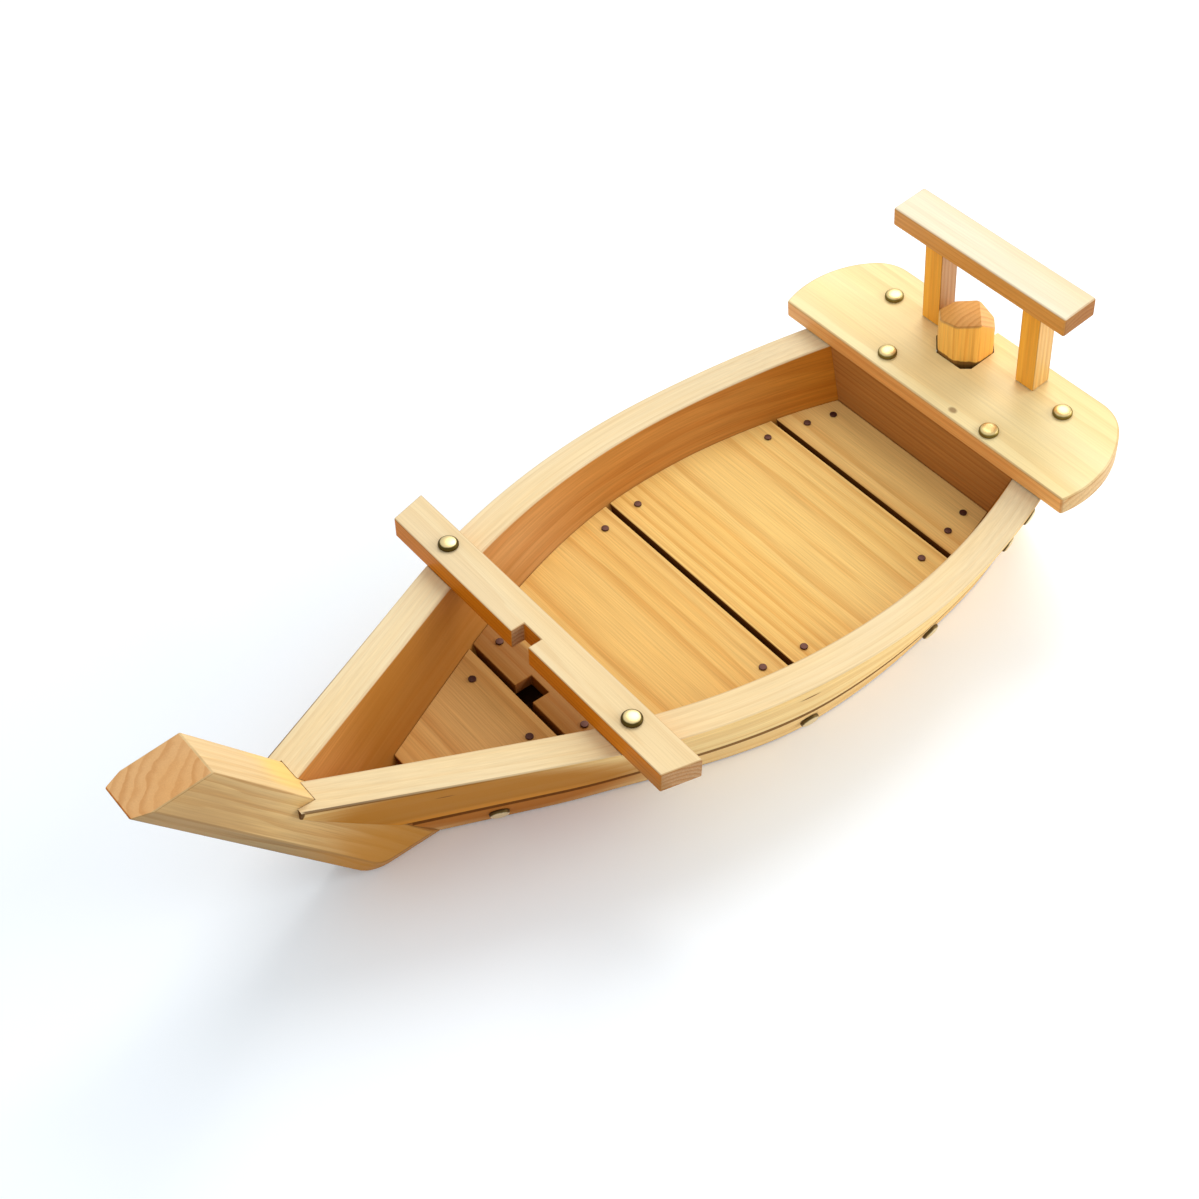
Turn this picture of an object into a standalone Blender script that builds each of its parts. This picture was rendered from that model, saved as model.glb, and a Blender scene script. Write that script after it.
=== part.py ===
# Wooden sushi boat: a flat-bottomed serving boat of pine boards and brass nails.
# Metres, +Z up, bow towards -X, port towards -Y, origin under the middle of its length.

import math

import bmesh
import bpy
from mathutils import Matrix, Vector

# Fits
GAP = 0.0003  # clearance between touching pieces
POST_PLAY = 0.0006  # clearance around the rudder post in the deck slot
POST_CORNER_PLAY = 0.0042  # and at the slot's wider port corner

# Hull form
BREADTH = 0.2326  # greatest breadth over the gunwales
BREADTH_X = 0.095  # where the breadth is greatest
SIDE_RADIUS = 0.440  # plan radius of the gunwale's outer edge
BOW_LAP = 0.0042  # how far the gunwale's bow tip stands out from the stem
SHEER_LOW = 0.0825  # lowest height of the gunwale
SHEER_LOW_X = 0.110
SHEER_BOW_RADIUS = 4.35  # side-view radius of the gunwale ahead of its lowest point
SHEER_STERN_RADIUS = 0.893  # and behind it, as far as the deck
FLARE_BOW = 0.044  # how far the side leans in from gunwale to bottom
FLARE_MIDDLE = 0.032
FLARE_STERN = 0.028
FLARE_BOW_SPAN = (-0.055, 0.075)  # the lean changes from bow to middle along this length
FLARE_STERN_SPAN = (0.150, 0.250)  # and from middle to stern along this one

# Side boards
STRAKE = 0.0205  # thickness
STRAKE_BOW_X = -0.2165
STRAKE_STERN_X = 0.286
STRAKE_STATIONS = 48
SEAM_Z = 0.030  # height of the seam between upper and lower board
SEAM_CHAMFER = 0.0015
GUNWALE_CHAMFER = 0.0020

# Bow stem
STEM_FOOT_X = -0.180  # where its front face would meet the ground
STEM_RAKE = math.radians(52.8)
STEM_WIDTH = 0.0302
STEM_DEPTH = 0.0356  # square to its rake
STEM_TOP = 0.155
STEM_END_TILT = math.radians(4.8)
STEM_HEEL_RADIUS = 0.025
STEM_CHAMFER_DEPTH = 0.0088  # along the front, the heel and the foot
STEM_CHAMFER_WIDTH = 0.0039

# Bottom and floor
BOTTOM_THICKNESS = 0.028
BOTTOM_BOW_WIDTH = 0.0114
FLOOR_TOP = 0.0538
FLOOR_THICKNESS = 0.008
FLOOR_BOW_WIDTH = 0.0126
FLOOR_GAPS_X = (-0.0701, 0.0574, 0.1829)
FLOOR_GAP = 0.0035
LEDGE_WIDTH = 0.014
LEDGE_HEIGHT = 0.011
LEDGE_BOW_APART = 0.0090  # between the bow ends of the two ledges

# Mast beam
BEAM_X = -0.0694  # front edge
BEAM_WIDTH = 0.0225
BEAM_THICKNESS = 0.0138
BEAM_FRONT_OVERHANG = 0.0289  # beyond the gunwale at its front edge
BEAM_REAR_OVERHANG = 0.0263
MAST_NOTCH_WIDTH = 0.0142
MAST_NOTCH_DEPTH = 0.0086
MAST_STEP_WIDTH = 0.0152
MAST_STEP_DEPTH = 0.0112

# Stern
TRANSOM_X = 0.2265
TRANSOM_THICKNESS = 0.016
DECK_X = 0.225  # front edge
DECK_LENGTH = 0.0704
DECK_WIDTH = 0.2286
DECK_WIDEST = 0.019  # behind the front edge
DECK_SIDE_RADIUS = 0.0644
DECK_CORNER_RADIUS = 0.027
DECK_THICKNESS = 0.0127
POST_SIDE = 0.0136
POST_SPACING = 0.0752  # between the posts' centre lines
POST_SETBACK = 0.0552  # behind the deck's front edge
POST_HEIGHT = 0.0622
RAIL_LENGTH = 0.1306
RAIL_WIDTH = 0.0248
RAIL_THICKNESS = 0.0129
DOWEL_DIAMETER = 0.0060
DOWEL_IN_POST = 0.0100
DOWEL_IN_BOARD = 0.0085

# Rudder post and its step
RUDDER_FLATS = 0.0324  # across the flats of the eight-sided post
RUDDER_SETBACK = 0.0493  # behind the deck's front edge
RUDDER_Y = 0.0097
RUDDER_HEAD = 0.0252  # height above the deck at its middle
RUDDER_SLANT = math.radians(16.7)  # slope of its top
RUDDER_SLANT_HEADING = math.radians(55.0)  # where the top falls away, from aft towards starboard
RUDDER_PARE_HEAD = 0.0328  # height at its middle of the steeper cut that pares off the port rear corner
RUDDER_PARE_SLANT = math.radians(45.0)
RUDDER_PARE_HEADING = math.radians(-28.0)
RUDDER_TENON_DIAMETER = 0.0120
RUDDER_TENON_LENGTH = 0.0070
STEP_DROP = 0.0340  # top of the step below the deck
STEP_THICKNESS = 0.0120
STEP_X = 0.252
STEP_LENGTH = 0.039

# Nails
DOME_DIAMETER = 0.0115
DOME_HEIGHT = 0.0030
SHANK_DIAMETER = 0.0022
SHANK_LENGTH = 0.0240
STRAKE_NAIL_Z = 0.0155
STRAKE_NAIL_BOW_WIDTH = 0.0610  # across the hull at its first pair of strake nails
STRAKE_NAIL_SPACING = (0.0860, 0.0860, 0.0990, 0.0870)  # from each nail to the next one aft
TRANSOM_NAIL_Z = 0.0550
DECK_FRONT_NAIL_INSETS = (0.0233, 0.0351)  # from the transom's port and starboard ends
DECK_FRONT_NAIL_SHIFTS = (-0.0012, 0.0021)  # behind the transom's middle line
DECK_REAR_NAIL_SETBACK = 0.0482
FLOOR_HEAD_DIAMETER = 0.0045
FLOOR_HEAD_HEIGHT = 0.0008
FLOOR_SHANK_DIAMETER = 0.0018
FLOOR_SHANK_LENGTH = 0.0150
FLOOR_NAIL_EDGE = 0.0120  # from a board's front or rear edge
FLOOR_NAIL_END = 0.0095  # from a board's end at the hull

NAIL_SIDES = 10
DOWEL_SIDES = 12
DOME_RINGS = 3
ARC_STEPS = 8
CUT = 0.4  # size of a cutter that reaches past everything
REACH = 0.004  # how far a small cutter runs past the piece

# Worked-out values
SIDE_CENTRE_Y = BREADTH / 2 - SIDE_RADIUS
BOW_RUN = BREADTH_X - STRAKE_BOW_X
BOW_RISE = SIDE_CENTRE_Y - STEM_WIDTH / 2 - BOW_LAP
# half angle of the straight run that leaves the bow tip and touches the side's arc
BOW_ANGLE = math.atan2(BOW_RISE, BOW_RUN) + math.asin(SIDE_RADIUS / math.hypot(BOW_RUN, BOW_RISE))
DECK_SLOPE = (DECK_X - SHEER_LOW_X) / SHEER_STERN_RADIUS
DECK_TILT = math.atan(DECK_SLOPE)
BEAM_MID_X = BEAM_X + BEAM_WIDTH / 2
TRANSOM_MID_X = TRANSOM_X + TRANSOM_THICKNESS / 2
FLOOR_UNDERSIDE = FLOOR_TOP - FLOOR_THICKNESS
SIDES = (("port", -1), ("starboard", 1))

# Colours, with roughness and metallic value
PALE_PINE = ((0.86, 0.66, 0.36), 0.38, 0.0)
WARM_PINE = ((0.78, 0.52, 0.22), 0.42, 0.0)
STEM_PINE = ((0.62, 0.43, 0.22), 0.48, 0.0)
DARK_PINE = ((0.45, 0.26, 0.10), 0.60, 0.0)
BRASS = ((0.80, 0.62, 0.28), 0.25, 1.0)
STEEL = ((0.20, 0.17, 0.14), 0.50, 1.0)


def start_scene():
    for old in list(bpy.data.objects):
        bpy.data.objects.remove(old, do_unlink=True)
    groups = []
    for name in ("sushi_boat", "cutters"):
        group = bpy.data.collections.new(name)
        bpy.context.scene.collection.children.link(group)
        groups.append(group)
    return groups


PARTS, CUTTERS = start_scene()


def material(name, look):
    colour, roughness, metallic = look
    made = bpy.data.materials.new(name)
    made.use_nodes = True
    shader = made.node_tree.nodes["Principled BSDF"]
    shader.inputs["Base Color"].default_value = (*colour, 1.0)
    shader.inputs["Roughness"].default_value = roughness
    shader.inputs["Metallic"].default_value = metallic
    return made


def add_mesh(name, form, look=None, parent=None):
    # A mesh with a look is a part, and one without is a cutter.
    bmesh.ops.recalc_face_normals(form, faces=form.faces)
    mesh = bpy.data.meshes.new(name)
    form.to_mesh(mesh)
    form.free()
    obj = bpy.data.objects.new(name, mesh)
    obj.parent = parent
    if look:
        PARTS.objects.link(obj)
        mesh.materials.append(material(name, look))
    else:
        CUTTERS.objects.link(obj)
        obj.hide_render = True
        obj.display_type = "WIRE"
    return obj


def cut(obj, *cutters):
    for cutter in cutters:
        boolean = obj.modifiers.new(cutter.name, "BOOLEAN")
        boolean.operation = "DIFFERENCE"
        boolean.solver = "EXACT"
        boolean.object = cutter


def box(form, low, high):
    size = Vector(high) - Vector(low)
    middle = (Vector(high) + Vector(low)) / 2
    place = Matrix.Translation(middle) @ Matrix.Diagonal((*size, 1.0))
    bmesh.ops.create_cube(form, size=1.0, matrix=place)


def rod(form, start, axis, diameter, length, sides):
    turn = Vector((0, 0, 1)).rotation_difference(Vector(axis)).to_matrix().to_4x4()
    place = Matrix.Translation(start) @ turn @ Matrix.Translation((0, 0, length / 2))
    bmesh.ops.create_cone(form, cap_ends=True, segments=sides, radius1=diameter / 2,
                          radius2=diameter / 2, depth=length, matrix=place)


def loft(sections):
    # Joins sections of equal point count, first to last, and closes both ends.
    form = bmesh.new()
    rows = [[form.verts.new(point) for point in section] for section in sections]
    for row, following in zip(rows, rows[1:]):
        for i in range(len(row)):
            j = (i + 1) % len(row)
            form.faces.new((row[i], row[j], following[j], following[i]))
    form.faces.new(rows[0])
    form.faces.new(rows[-1])
    bmesh.ops.triangulate(form, faces=form.faces)
    return form


def plate(name, outline, thickness, place, look=None, parent=None):
    # A flat outline given equal thickness on both sides of its plane.
    curve = bpy.data.curves.new(name, "CURVE")
    curve.dimensions = "2D"
    curve.fill_mode = "BOTH"
    curve.extrude = thickness / 2
    spline = curve.splines.new("POLY")
    spline.points.add(len(outline) - 1)
    for point, (u, v) in zip(spline.points, outline):
        point.co = (u, v, 0, 1)
    spline.use_cyclic_u = True
    guide = bpy.data.objects.new(name + "_curve", curve)
    CUTTERS.objects.link(guide)
    graph = bpy.context.evaluated_depsgraph_get()
    mesh = bpy.data.meshes.new_from_object(guide.evaluated_get(graph))
    bpy.data.objects.remove(guide)
    form = bmesh.new()
    form.from_mesh(mesh)
    bpy.data.meshes.remove(mesh)
    bmesh.ops.remove_doubles(form, verts=form.verts, dist=0.00001)
    form.transform(place)
    return add_mesh(name, form, look, parent)


def arc(centre, radius, first, last):
    points = []
    for i in range(ARC_STEPS + 1):
        angle = first + (last - first) * i / ARC_STEPS
        points.append((centre[0] + radius * math.cos(angle), centre[1] + radius * math.sin(angle)))
    return points


def sheer(x):
    # Height of the gunwale: an arc each side of its lowest point, straight under the deck.
    if x < SHEER_LOW_X:
        return SHEER_LOW + (SHEER_LOW_X - x) ** 2 / (2 * SHEER_BOW_RADIUS)
    curved = min(x, DECK_X) - SHEER_LOW_X
    straight = max(x - DECK_X, 0.0)
    return SHEER_LOW + curved ** 2 / (2 * SHEER_STERN_RADIUS) + straight * DECK_SLOPE


def breadth(x, inward):
    # Half breadth at the gunwale, moved inward square to the plan curve: an arc, then a straight run.
    radius = SIDE_RADIUS - inward
    ahead = BREADTH_X - x
    run = ahead - radius * math.sin(BOW_ANGLE)
    if run > 0:
        return SIDE_CENTRE_Y + radius * math.cos(BOW_ANGLE) - run * math.tan(BOW_ANGLE)
    return SIDE_CENTRE_Y + math.sqrt(radius ** 2 - ahead ** 2)


def smooth(x, span):
    # 0 ahead of a length of the hull and 1 behind it, with an even change along it
    first, last = span
    t = min(max((x - first) / (last - first), 0.0), 1.0)
    return t * t * (3 - 2 * t)


def flare(x):
    forward = (FLARE_BOW - FLARE_MIDDLE) * (1 - smooth(x, FLARE_BOW_SPAN))
    aft = (FLARE_STERN - FLARE_MIDDLE) * smooth(x, FLARE_STERN_SPAN)
    return FLARE_MIDDLE + forward + aft


def side(x, z, inward=0.0):
    # Half breadth of the leaning side at height z.
    return breadth(x, inward) - flare(x) * (1 - z / sheer(x))


def inside(x, z):
    # Half breadth left for a piece that fits between the side boards.
    return side(x, z, STRAKE) - GAP


def bow_end(half, z, width=inside):
    # Where the hull, followed towards the bow on its inside or outside, has narrowed to a half breadth.
    low, high = STRAKE_BOW_X, BREADTH_X
    while high - low > 0.000001:
        middle = (low + high) / 2
        if width(middle, z) < half:
            low = middle
        else:
            high = middle
    return high


def side_normal(x, z):
    step = 0.001
    along = Vector((2 * step, side(x + step, z) - side(x - step, z), 0))
    upward = Vector((0, side(x, z + step) - side(x, z - step), 2 * step))
    return upward.cross(along).normalized()


def stations(first, last, count):
    return [first + (last - first) * i / (count - 1) for i in range(count)]


def stem_outline(ease):
    # Side view of the stem as (x, z); ease moves its front and foot inward.
    up = Vector((-math.cos(STEM_RAKE), math.sin(STEM_RAKE)))
    across = Vector((math.sin(STEM_RAKE), math.cos(STEM_RAKE)))
    corner = Vector((STEM_FOOT_X, 0.0))
    front = corner + across * ease
    rear = corner + across * STEM_DEPTH
    slope = math.tan(STEM_END_TILT)
    top_rear = rear + up * ((STEM_TOP - rear.y) / up.y)
    rise = top_rear.y - front.y - slope * (top_rear.x - front.x)
    top_front = front + up * (rise / (up.y - slope * up.x))
    foot_front = front + up * ((ease - front.y) / up.y)
    foot_rear = rear + up * ((ease - rear.y) / up.y)
    radius = STEM_HEEL_RADIUS - ease
    inner_angle = math.pi - STEM_RAKE
    heel = (foot_front.x + radius / math.tan(inner_angle / 2), ease + radius)
    heel_arc = arc(heel, radius, math.pi * 1.5 - STEM_RAKE, math.pi * 1.5)
    return [tuple(top_rear), tuple(top_front), *heel_arc, tuple(foot_rear)]


def make_stem():
    half = STEM_WIDTH / 2
    flat = half - STEM_CHAMFER_WIDTH
    rows = []
    for y, ease in ((-half, STEM_CHAMFER_DEPTH), (-flat, 0.0), (flat, 0.0), (half, STEM_CHAMFER_DEPTH)):
        rows.append([(x, y, z) for x, z in stem_outline(ease)])
    return add_mesh("bow_stem", loft(rows), STEM_PINE)


def upper_section(x, sign):
    top = sheer(x)
    low = SEAM_Z + GAP / 2
    points = (
        (side(x, top, STRAKE), top),
        (side(x, top, GUNWALE_CHAMFER), top),
        (side(x, top - GUNWALE_CHAMFER), top - GUNWALE_CHAMFER),
        (side(x, low + SEAM_CHAMFER), low + SEAM_CHAMFER),
        (side(x, low, SEAM_CHAMFER), low),
        (side(x, low, STRAKE), low),
    )
    return [(x, sign * y, z) for y, z in points]


def lower_section(x, sign):
    top = SEAM_Z - GAP / 2
    points = (
        (side(x, top, STRAKE), top),
        (side(x, top, SEAM_CHAMFER), top),
        (side(x, top - SEAM_CHAMFER), top - SEAM_CHAMFER),
        (side(x, 0.0), 0.0),
        (side(x, 0.0, STRAKE), 0.0),
    )
    return [(x, sign * y, z) for y, z in points]


def stem_room():
    # Everything ahead of the stem's rear face, across the stem's width.
    rear_x = STEM_FOOT_X + (STEM_DEPTH + GAP) / math.sin(STEM_RAKE)
    lean = CUT / math.tan(STEM_RAKE)
    outline = ((rear_x + lean, -CUT), (rear_x - lean, CUT), (-2 * CUT, CUT), (-2 * CUT, -CUT))
    upright = Matrix.Rotation(math.pi / 2, 4, "X")
    return plate("stem_room", outline, STEM_WIDTH + 2 * GAP, upright)


def other_half(sign):
    # Everything beyond the centre plane, seen from one side board.
    form = bmesh.new()
    edge = sign * GAP / 2
    box(form, (-CUT, min(edge, -sign * CUT), -CUT), (CUT, max(edge, -sign * CUT), CUT))
    return form


def make_strakes():
    room = stem_room()
    strakes = {}
    for name, sign in SIDES:
        half = add_mesh("beyond_centre_" + name, other_half(sign))
        for level, section in (("upper", upper_section), ("lower", lower_section)):
            rows = [section(x, sign) for x in stations(STRAKE_BOW_X, STRAKE_STERN_X, STRAKE_STATIONS)]
            strake = add_mesh(level + "_strake_" + name, loft(rows), WARM_PINE)
            cut(strake, room, half)
            strakes[level, name] = strake
    return strakes


def span_board(name, first, last, low, high, count, look):
    # A board that reaches from side to side between the strakes; low and high are functions of x.
    rows = []
    for x in stations(first, last, count):
        below = inside(x, low(x))
        above = inside(x, high(x))
        rows.append([(x, -below, low(x)), (x, below, low(x)), (x, above, high(x)), (x, -above, high(x))])
    return add_mesh(name, loft(rows), look)


def level(height):
    return lambda x: height


def make_bottom():
    return span_board("bottom_board", bow_end(BOTTOM_BOW_WIDTH / 2, 0.0), STRAKE_STERN_X,
                      level(0.0), level(BOTTOM_THICKNESS), STRAKE_STATIONS, DARK_PINE)


def make_transom():
    return span_board("transom", TRANSOM_X, TRANSOM_X + TRANSOM_THICKNESS,
                      level(BOTTOM_THICKNESS + GAP), sheer, 2, DARK_PINE)


def floor_spans():
    # Front and rear edge of each floor board, bow to stern.
    fronts = [bow_end(FLOOR_BOW_WIDTH / 2, FLOOR_UNDERSIDE)] + [x + FLOOR_GAP / 2 for x in FLOOR_GAPS_X]
    rears = [x - FLOOR_GAP / 2 for x in FLOOR_GAPS_X] + [TRANSOM_X - GAP]
    return list(zip(fronts, rears))


def make_floor():
    boards = []
    for number, (front, rear) in enumerate(floor_spans(), 1):
        board = span_board("floor_board_%d" % number, front, rear, level(FLOOR_UNDERSIDE),
                           level(FLOOR_TOP), ARC_STEPS, PALE_PINE)
        boards.append(board)
    form = bmesh.new()
    front = floor_spans()[1][0]
    half = MAST_STEP_WIDTH / 2
    box(form, (front - REACH, -half, FLOOR_UNDERSIDE - REACH),
        (front + MAST_STEP_DEPTH, half, FLOOR_TOP + REACH))
    cut(boards[1], add_mesh("mast_step", form))
    return boards


def make_ledges():
    ledges = {}
    top = FLOOR_UNDERSIDE - GAP
    low = top - LEDGE_HEIGHT
    for name, sign in SIDES:
        rows = []
        front = bow_end(LEDGE_BOW_APART / 2 + LEDGE_WIDTH, low)
        for x in stations(front, TRANSOM_X - GAP, STRAKE_STATIONS):
            points = ((inside(x, low), low), (inside(x, top), top),
                      (inside(x, low) - LEDGE_WIDTH, top), (inside(x, low) - LEDGE_WIDTH, low))
            rows.append([(x, sign * y, z) for y, z in points])
        ledges[name] = add_mesh("floor_ledge_" + name, loft(rows), DARK_PINE)
    return ledges


def beam_seat():
    # The beam lies level on the lower of the gunwale heights under it.
    return min(sheer(BEAM_X), sheer(BEAM_X + BEAM_WIDTH))


def make_beam(strakes):
    low = beam_seat() + GAP
    rear_x = BEAM_X + BEAM_WIDTH
    front = breadth(BEAM_X, 0.0) + BEAM_FRONT_OVERHANG
    rear = breadth(rear_x, 0.0) + BEAM_REAR_OVERHANG
    notch = MAST_NOTCH_WIDTH / 2
    notch_x = BEAM_X + MAST_NOTCH_DEPTH
    outline = ((BEAM_X, -front), (BEAM_X, -notch), (notch_x, -notch), (notch_x, notch), (BEAM_X, notch),
               (BEAM_X, front), (rear_x, rear), (rear_x, -rear))
    place = Matrix.Translation((0, 0, low + BEAM_THICKNESS / 2))
    beam = plate("mast_beam", outline, BEAM_THICKNESS, place, PALE_PINE)
    form = bmesh.new()
    box(form, (BEAM_X - GAP, -BREADTH, beam_seat()), (rear_x + GAP, BREADTH, beam_seat() + BEAM_THICKNESS))
    seat = add_mesh("beam_seat", form)
    for name, sign in SIDES:
        cut(strakes["upper", name], seat)
    return beam


def make_deck_frame():
    # Local axes of the stern: X aft along the deck, Z square to it, zero at its front underside edge.
    frame = bpy.data.objects.new("deck_frame", None)
    frame.location = (DECK_X, 0, sheer(DECK_X) + GAP)
    frame.rotation_euler = (0, -DECK_TILT, 0)
    PARTS.objects.link(frame)
    bpy.context.view_layer.update()
    return frame


def deck_outline():
    # Half outline: a side arc that meets a smaller corner arc, then the straight rear edge.
    side_centre = Vector((DECK_WIDEST, DECK_WIDTH / 2 - DECK_SIDE_RADIUS))
    spread = DECK_SIDE_RADIUS - DECK_CORNER_RADIUS
    corner_x = DECK_LENGTH - DECK_CORNER_RADIUS
    meet = math.acos((corner_x - DECK_WIDEST) / spread)
    corner = side_centre + Vector((math.cos(meet), math.sin(meet))) * spread
    start = math.acos(-DECK_WIDEST / DECK_SIDE_RADIUS)
    half = arc(side_centre, DECK_SIDE_RADIUS, start, meet)[:-1]
    half += arc(corner, DECK_CORNER_RADIUS, meet, 0.0)
    return half + [(x, -y) for x, y in reversed(half)]


def slot_outline():
    # An eight-sided notch that follows the post, with a mouth in the deck's rear edge and more room at
    # its port front facet.
    reach = RUDDER_FLATS / 2 + POST_PLAY
    far = reach * math.tan(math.pi / 8)
    near = math.sqrt(2) * (RUDDER_FLATS / 2 + POST_CORNER_PLAY) - reach
    rear = DECK_LENGTH + REACH - RUDDER_SETBACK
    ring = ((rear, -far), (reach, -far), (far, -reach), (-near, -reach), (-reach, -near),
            (-reach, far), (-far, reach), (far, reach), (reach, far), (rear, far))
    return [(RUDDER_SETBACK + x, RUDDER_Y + y) for x, y in ring]


def make_deck(frame):
    place = Matrix.Translation((0, 0, DECK_THICKNESS / 2))
    deck = plate("stern_deck", deck_outline(), DECK_THICKNESS, place, PALE_PINE, frame)
    cut(deck, plate("rudder_slot", slot_outline(), DECK_THICKNESS + 2 * REACH, place, parent=frame))
    return deck


def make_handle(frame, deck):
    foot = DECK_THICKNESS + GAP
    rail_low = foot + POST_HEIGHT + GAP
    form = bmesh.new()
    box(form, (POST_SETBACK - RAIL_WIDTH / 2, -RAIL_LENGTH / 2, rail_low),
        (POST_SETBACK + RAIL_WIDTH / 2, RAIL_LENGTH / 2, rail_low + RAIL_THICKNESS))
    rail = add_mesh("handle_rail", form, PALE_PINE, frame)
    holes = bmesh.new()
    length = DOWEL_IN_POST + DOWEL_IN_BOARD
    for name, sign in SIDES:
        y = sign * POST_SPACING / 2
        for end, start in (("foot", DECK_THICKNESS - DOWEL_IN_BOARD), ("head", rail_low - DOWEL_IN_POST)):
            dowel = bmesh.new()
            rod(dowel, (POST_SETBACK, y, start), (0, 0, 1), DOWEL_DIAMETER, length, DOWEL_SIDES)
            add_mesh("%s_dowel_%s" % (end, name), dowel, WARM_PINE, frame)
            rod(holes, (POST_SETBACK, y, start - GAP), (0, 0, 1), DOWEL_DIAMETER + 2 * GAP,
                length + 2 * GAP, DOWEL_SIDES)
    room = add_mesh("dowel_holes", holes, parent=frame)
    for name, sign in SIDES:
        y = sign * POST_SPACING / 2
        half = POST_SIDE / 2
        form = bmesh.new()
        box(form, (POST_SETBACK - half, y - half, foot), (POST_SETBACK + half, y + half, foot + POST_HEIGHT))
        cut(add_mesh("handle_post_" + name, form, WARM_PINE, frame), room)
    cut(rail, room)
    cut(deck, room)


def rudder_ring(flats, height, slant=0.0, heading=0.0):
    # Corners of an eight-sided outline, on a plane that falls away towards a heading.
    corner = flats / 2 / math.cos(math.pi / 8)
    ring = []
    for i in range(8):
        angle = (i + 0.5) * math.pi / 4
        fall = corner * math.cos(angle - heading) * math.tan(slant)
        ring.append((corner * math.cos(angle), corner * math.sin(angle), height - fall))
    return ring


def make_rudder(frame):
    step = span_board("rudder_step", STEP_X, STEP_X + STEP_LENGTH,
                      lambda x: sheer(x) - STEP_DROP - STEP_THICKNESS,
                      lambda x: sheer(x) - STEP_DROP, 2, DARK_PINE)
    foot = GAP - STEP_DROP
    deck_top = DECK_THICKNESS - foot
    head = rudder_ring(RUDDER_FLATS, deck_top + RUDDER_HEAD, RUDDER_SLANT, RUDDER_SLANT_HEADING)
    post = add_mesh("rudder_post", loft((rudder_ring(RUDDER_FLATS, 0.0), head)), WARM_PINE, frame)
    wide = 2 * RUDDER_FLATS
    level = deck_top + RUDDER_PARE_HEAD
    below = rudder_ring(wide, level, RUDDER_PARE_SLANT, RUDDER_PARE_HEADING)
    above = rudder_ring(wide, level + wide, RUDDER_PARE_SLANT, RUDDER_PARE_HEADING)
    pare = add_mesh("rudder_pare", loft((below, above)), parent=frame)
    tenon = bmesh.new()
    rod(tenon, (0, 0, -RUDDER_TENON_LENGTH), (0, 0, 1), RUDDER_TENON_DIAMETER,
        RUDDER_TENON_LENGTH + REACH, DOWEL_SIDES)
    pin = add_mesh("rudder_tenon", tenon, parent=frame)
    hole = bmesh.new()
    reach = STEP_THICKNESS + REACH
    rod(hole, (0, 0, -reach), (0, 0, 1), RUDDER_TENON_DIAMETER + 2 * POST_PLAY, 2 * reach, DOWEL_SIDES)
    socket = add_mesh("tenon_socket", hole, parent=frame)
    for obj in (post, pin, pare, socket):
        obj.location = (RUDDER_SETBACK, RUDDER_Y, foot)
    union = post.modifiers.new("tenon", "BOOLEAN")
    union.operation = "UNION"
    union.solver = "EXACT"
    union.object = pin
    cut(post, pare)
    cut(step, socket)
    return step


def nail_profile(head, height, rings, shank, length):
    # Half section of a nail from the top of its head to its point, as (radius, height).
    if rings:
        top = [(head / 2 * math.sin(a), height * math.cos(a))
               for a in (math.pi / 2 * i / rings for i in range(rings + 1))]
    else:
        top = [(0.0, height), (head / 2, height), (head / 2, 0.0)]
    return top + [(shank / 2, 0.0), (shank / 2, -length), (0.0, -length)]


def turned(name, profile, look):
    # One mesh that every nail of a kind shares.
    form = bmesh.new()
    verts = [form.verts.new((radius, 0, height)) for radius, height in profile]
    edges = [form.edges.new(pair) for pair in zip(verts, verts[1:])]
    bmesh.ops.spin(form, geom=verts + edges, cent=(0, 0, 0), axis=(0, 0, 1), angle=2 * math.pi,
                   steps=NAIL_SIDES, use_merge=True)
    bmesh.ops.remove_doubles(form, verts=form.verts, dist=0.00001)
    bmesh.ops.recalc_face_normals(form, faces=form.faces)
    mesh = bpy.data.meshes.new(name)
    form.to_mesh(mesh)
    form.free()
    mesh.shade_smooth()
    mesh.set_sharp_from_angle(angle=math.radians(40))
    mesh.materials.append(material(name, look))
    return mesh


def drive_nails(group, mesh, shank, length, places, pieces, frame=None):
    # Sets a nail at each place (a name, a surface point and its normal) and drills the pieces for it.
    holes = bmesh.new()
    for name, point, normal in places:
        nail = bpy.data.objects.new(name, mesh)
        nail.parent = frame
        nail.location = Vector(point) + Vector(normal) * GAP
        nail.rotation_mode = "QUATERNION"
        nail.rotation_quaternion = Vector((0, 0, 1)).rotation_difference(Vector(normal))
        PARTS.objects.link(nail)
        deep = Vector(point) - Vector(normal) * length
        rod(holes, deep, normal, shank + 2 * GAP, length + REACH, NAIL_SIDES)
    drill = add_mesh(group + "_holes", holes, parent=frame)
    for piece in pieces:
        cut(piece, drill)


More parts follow.
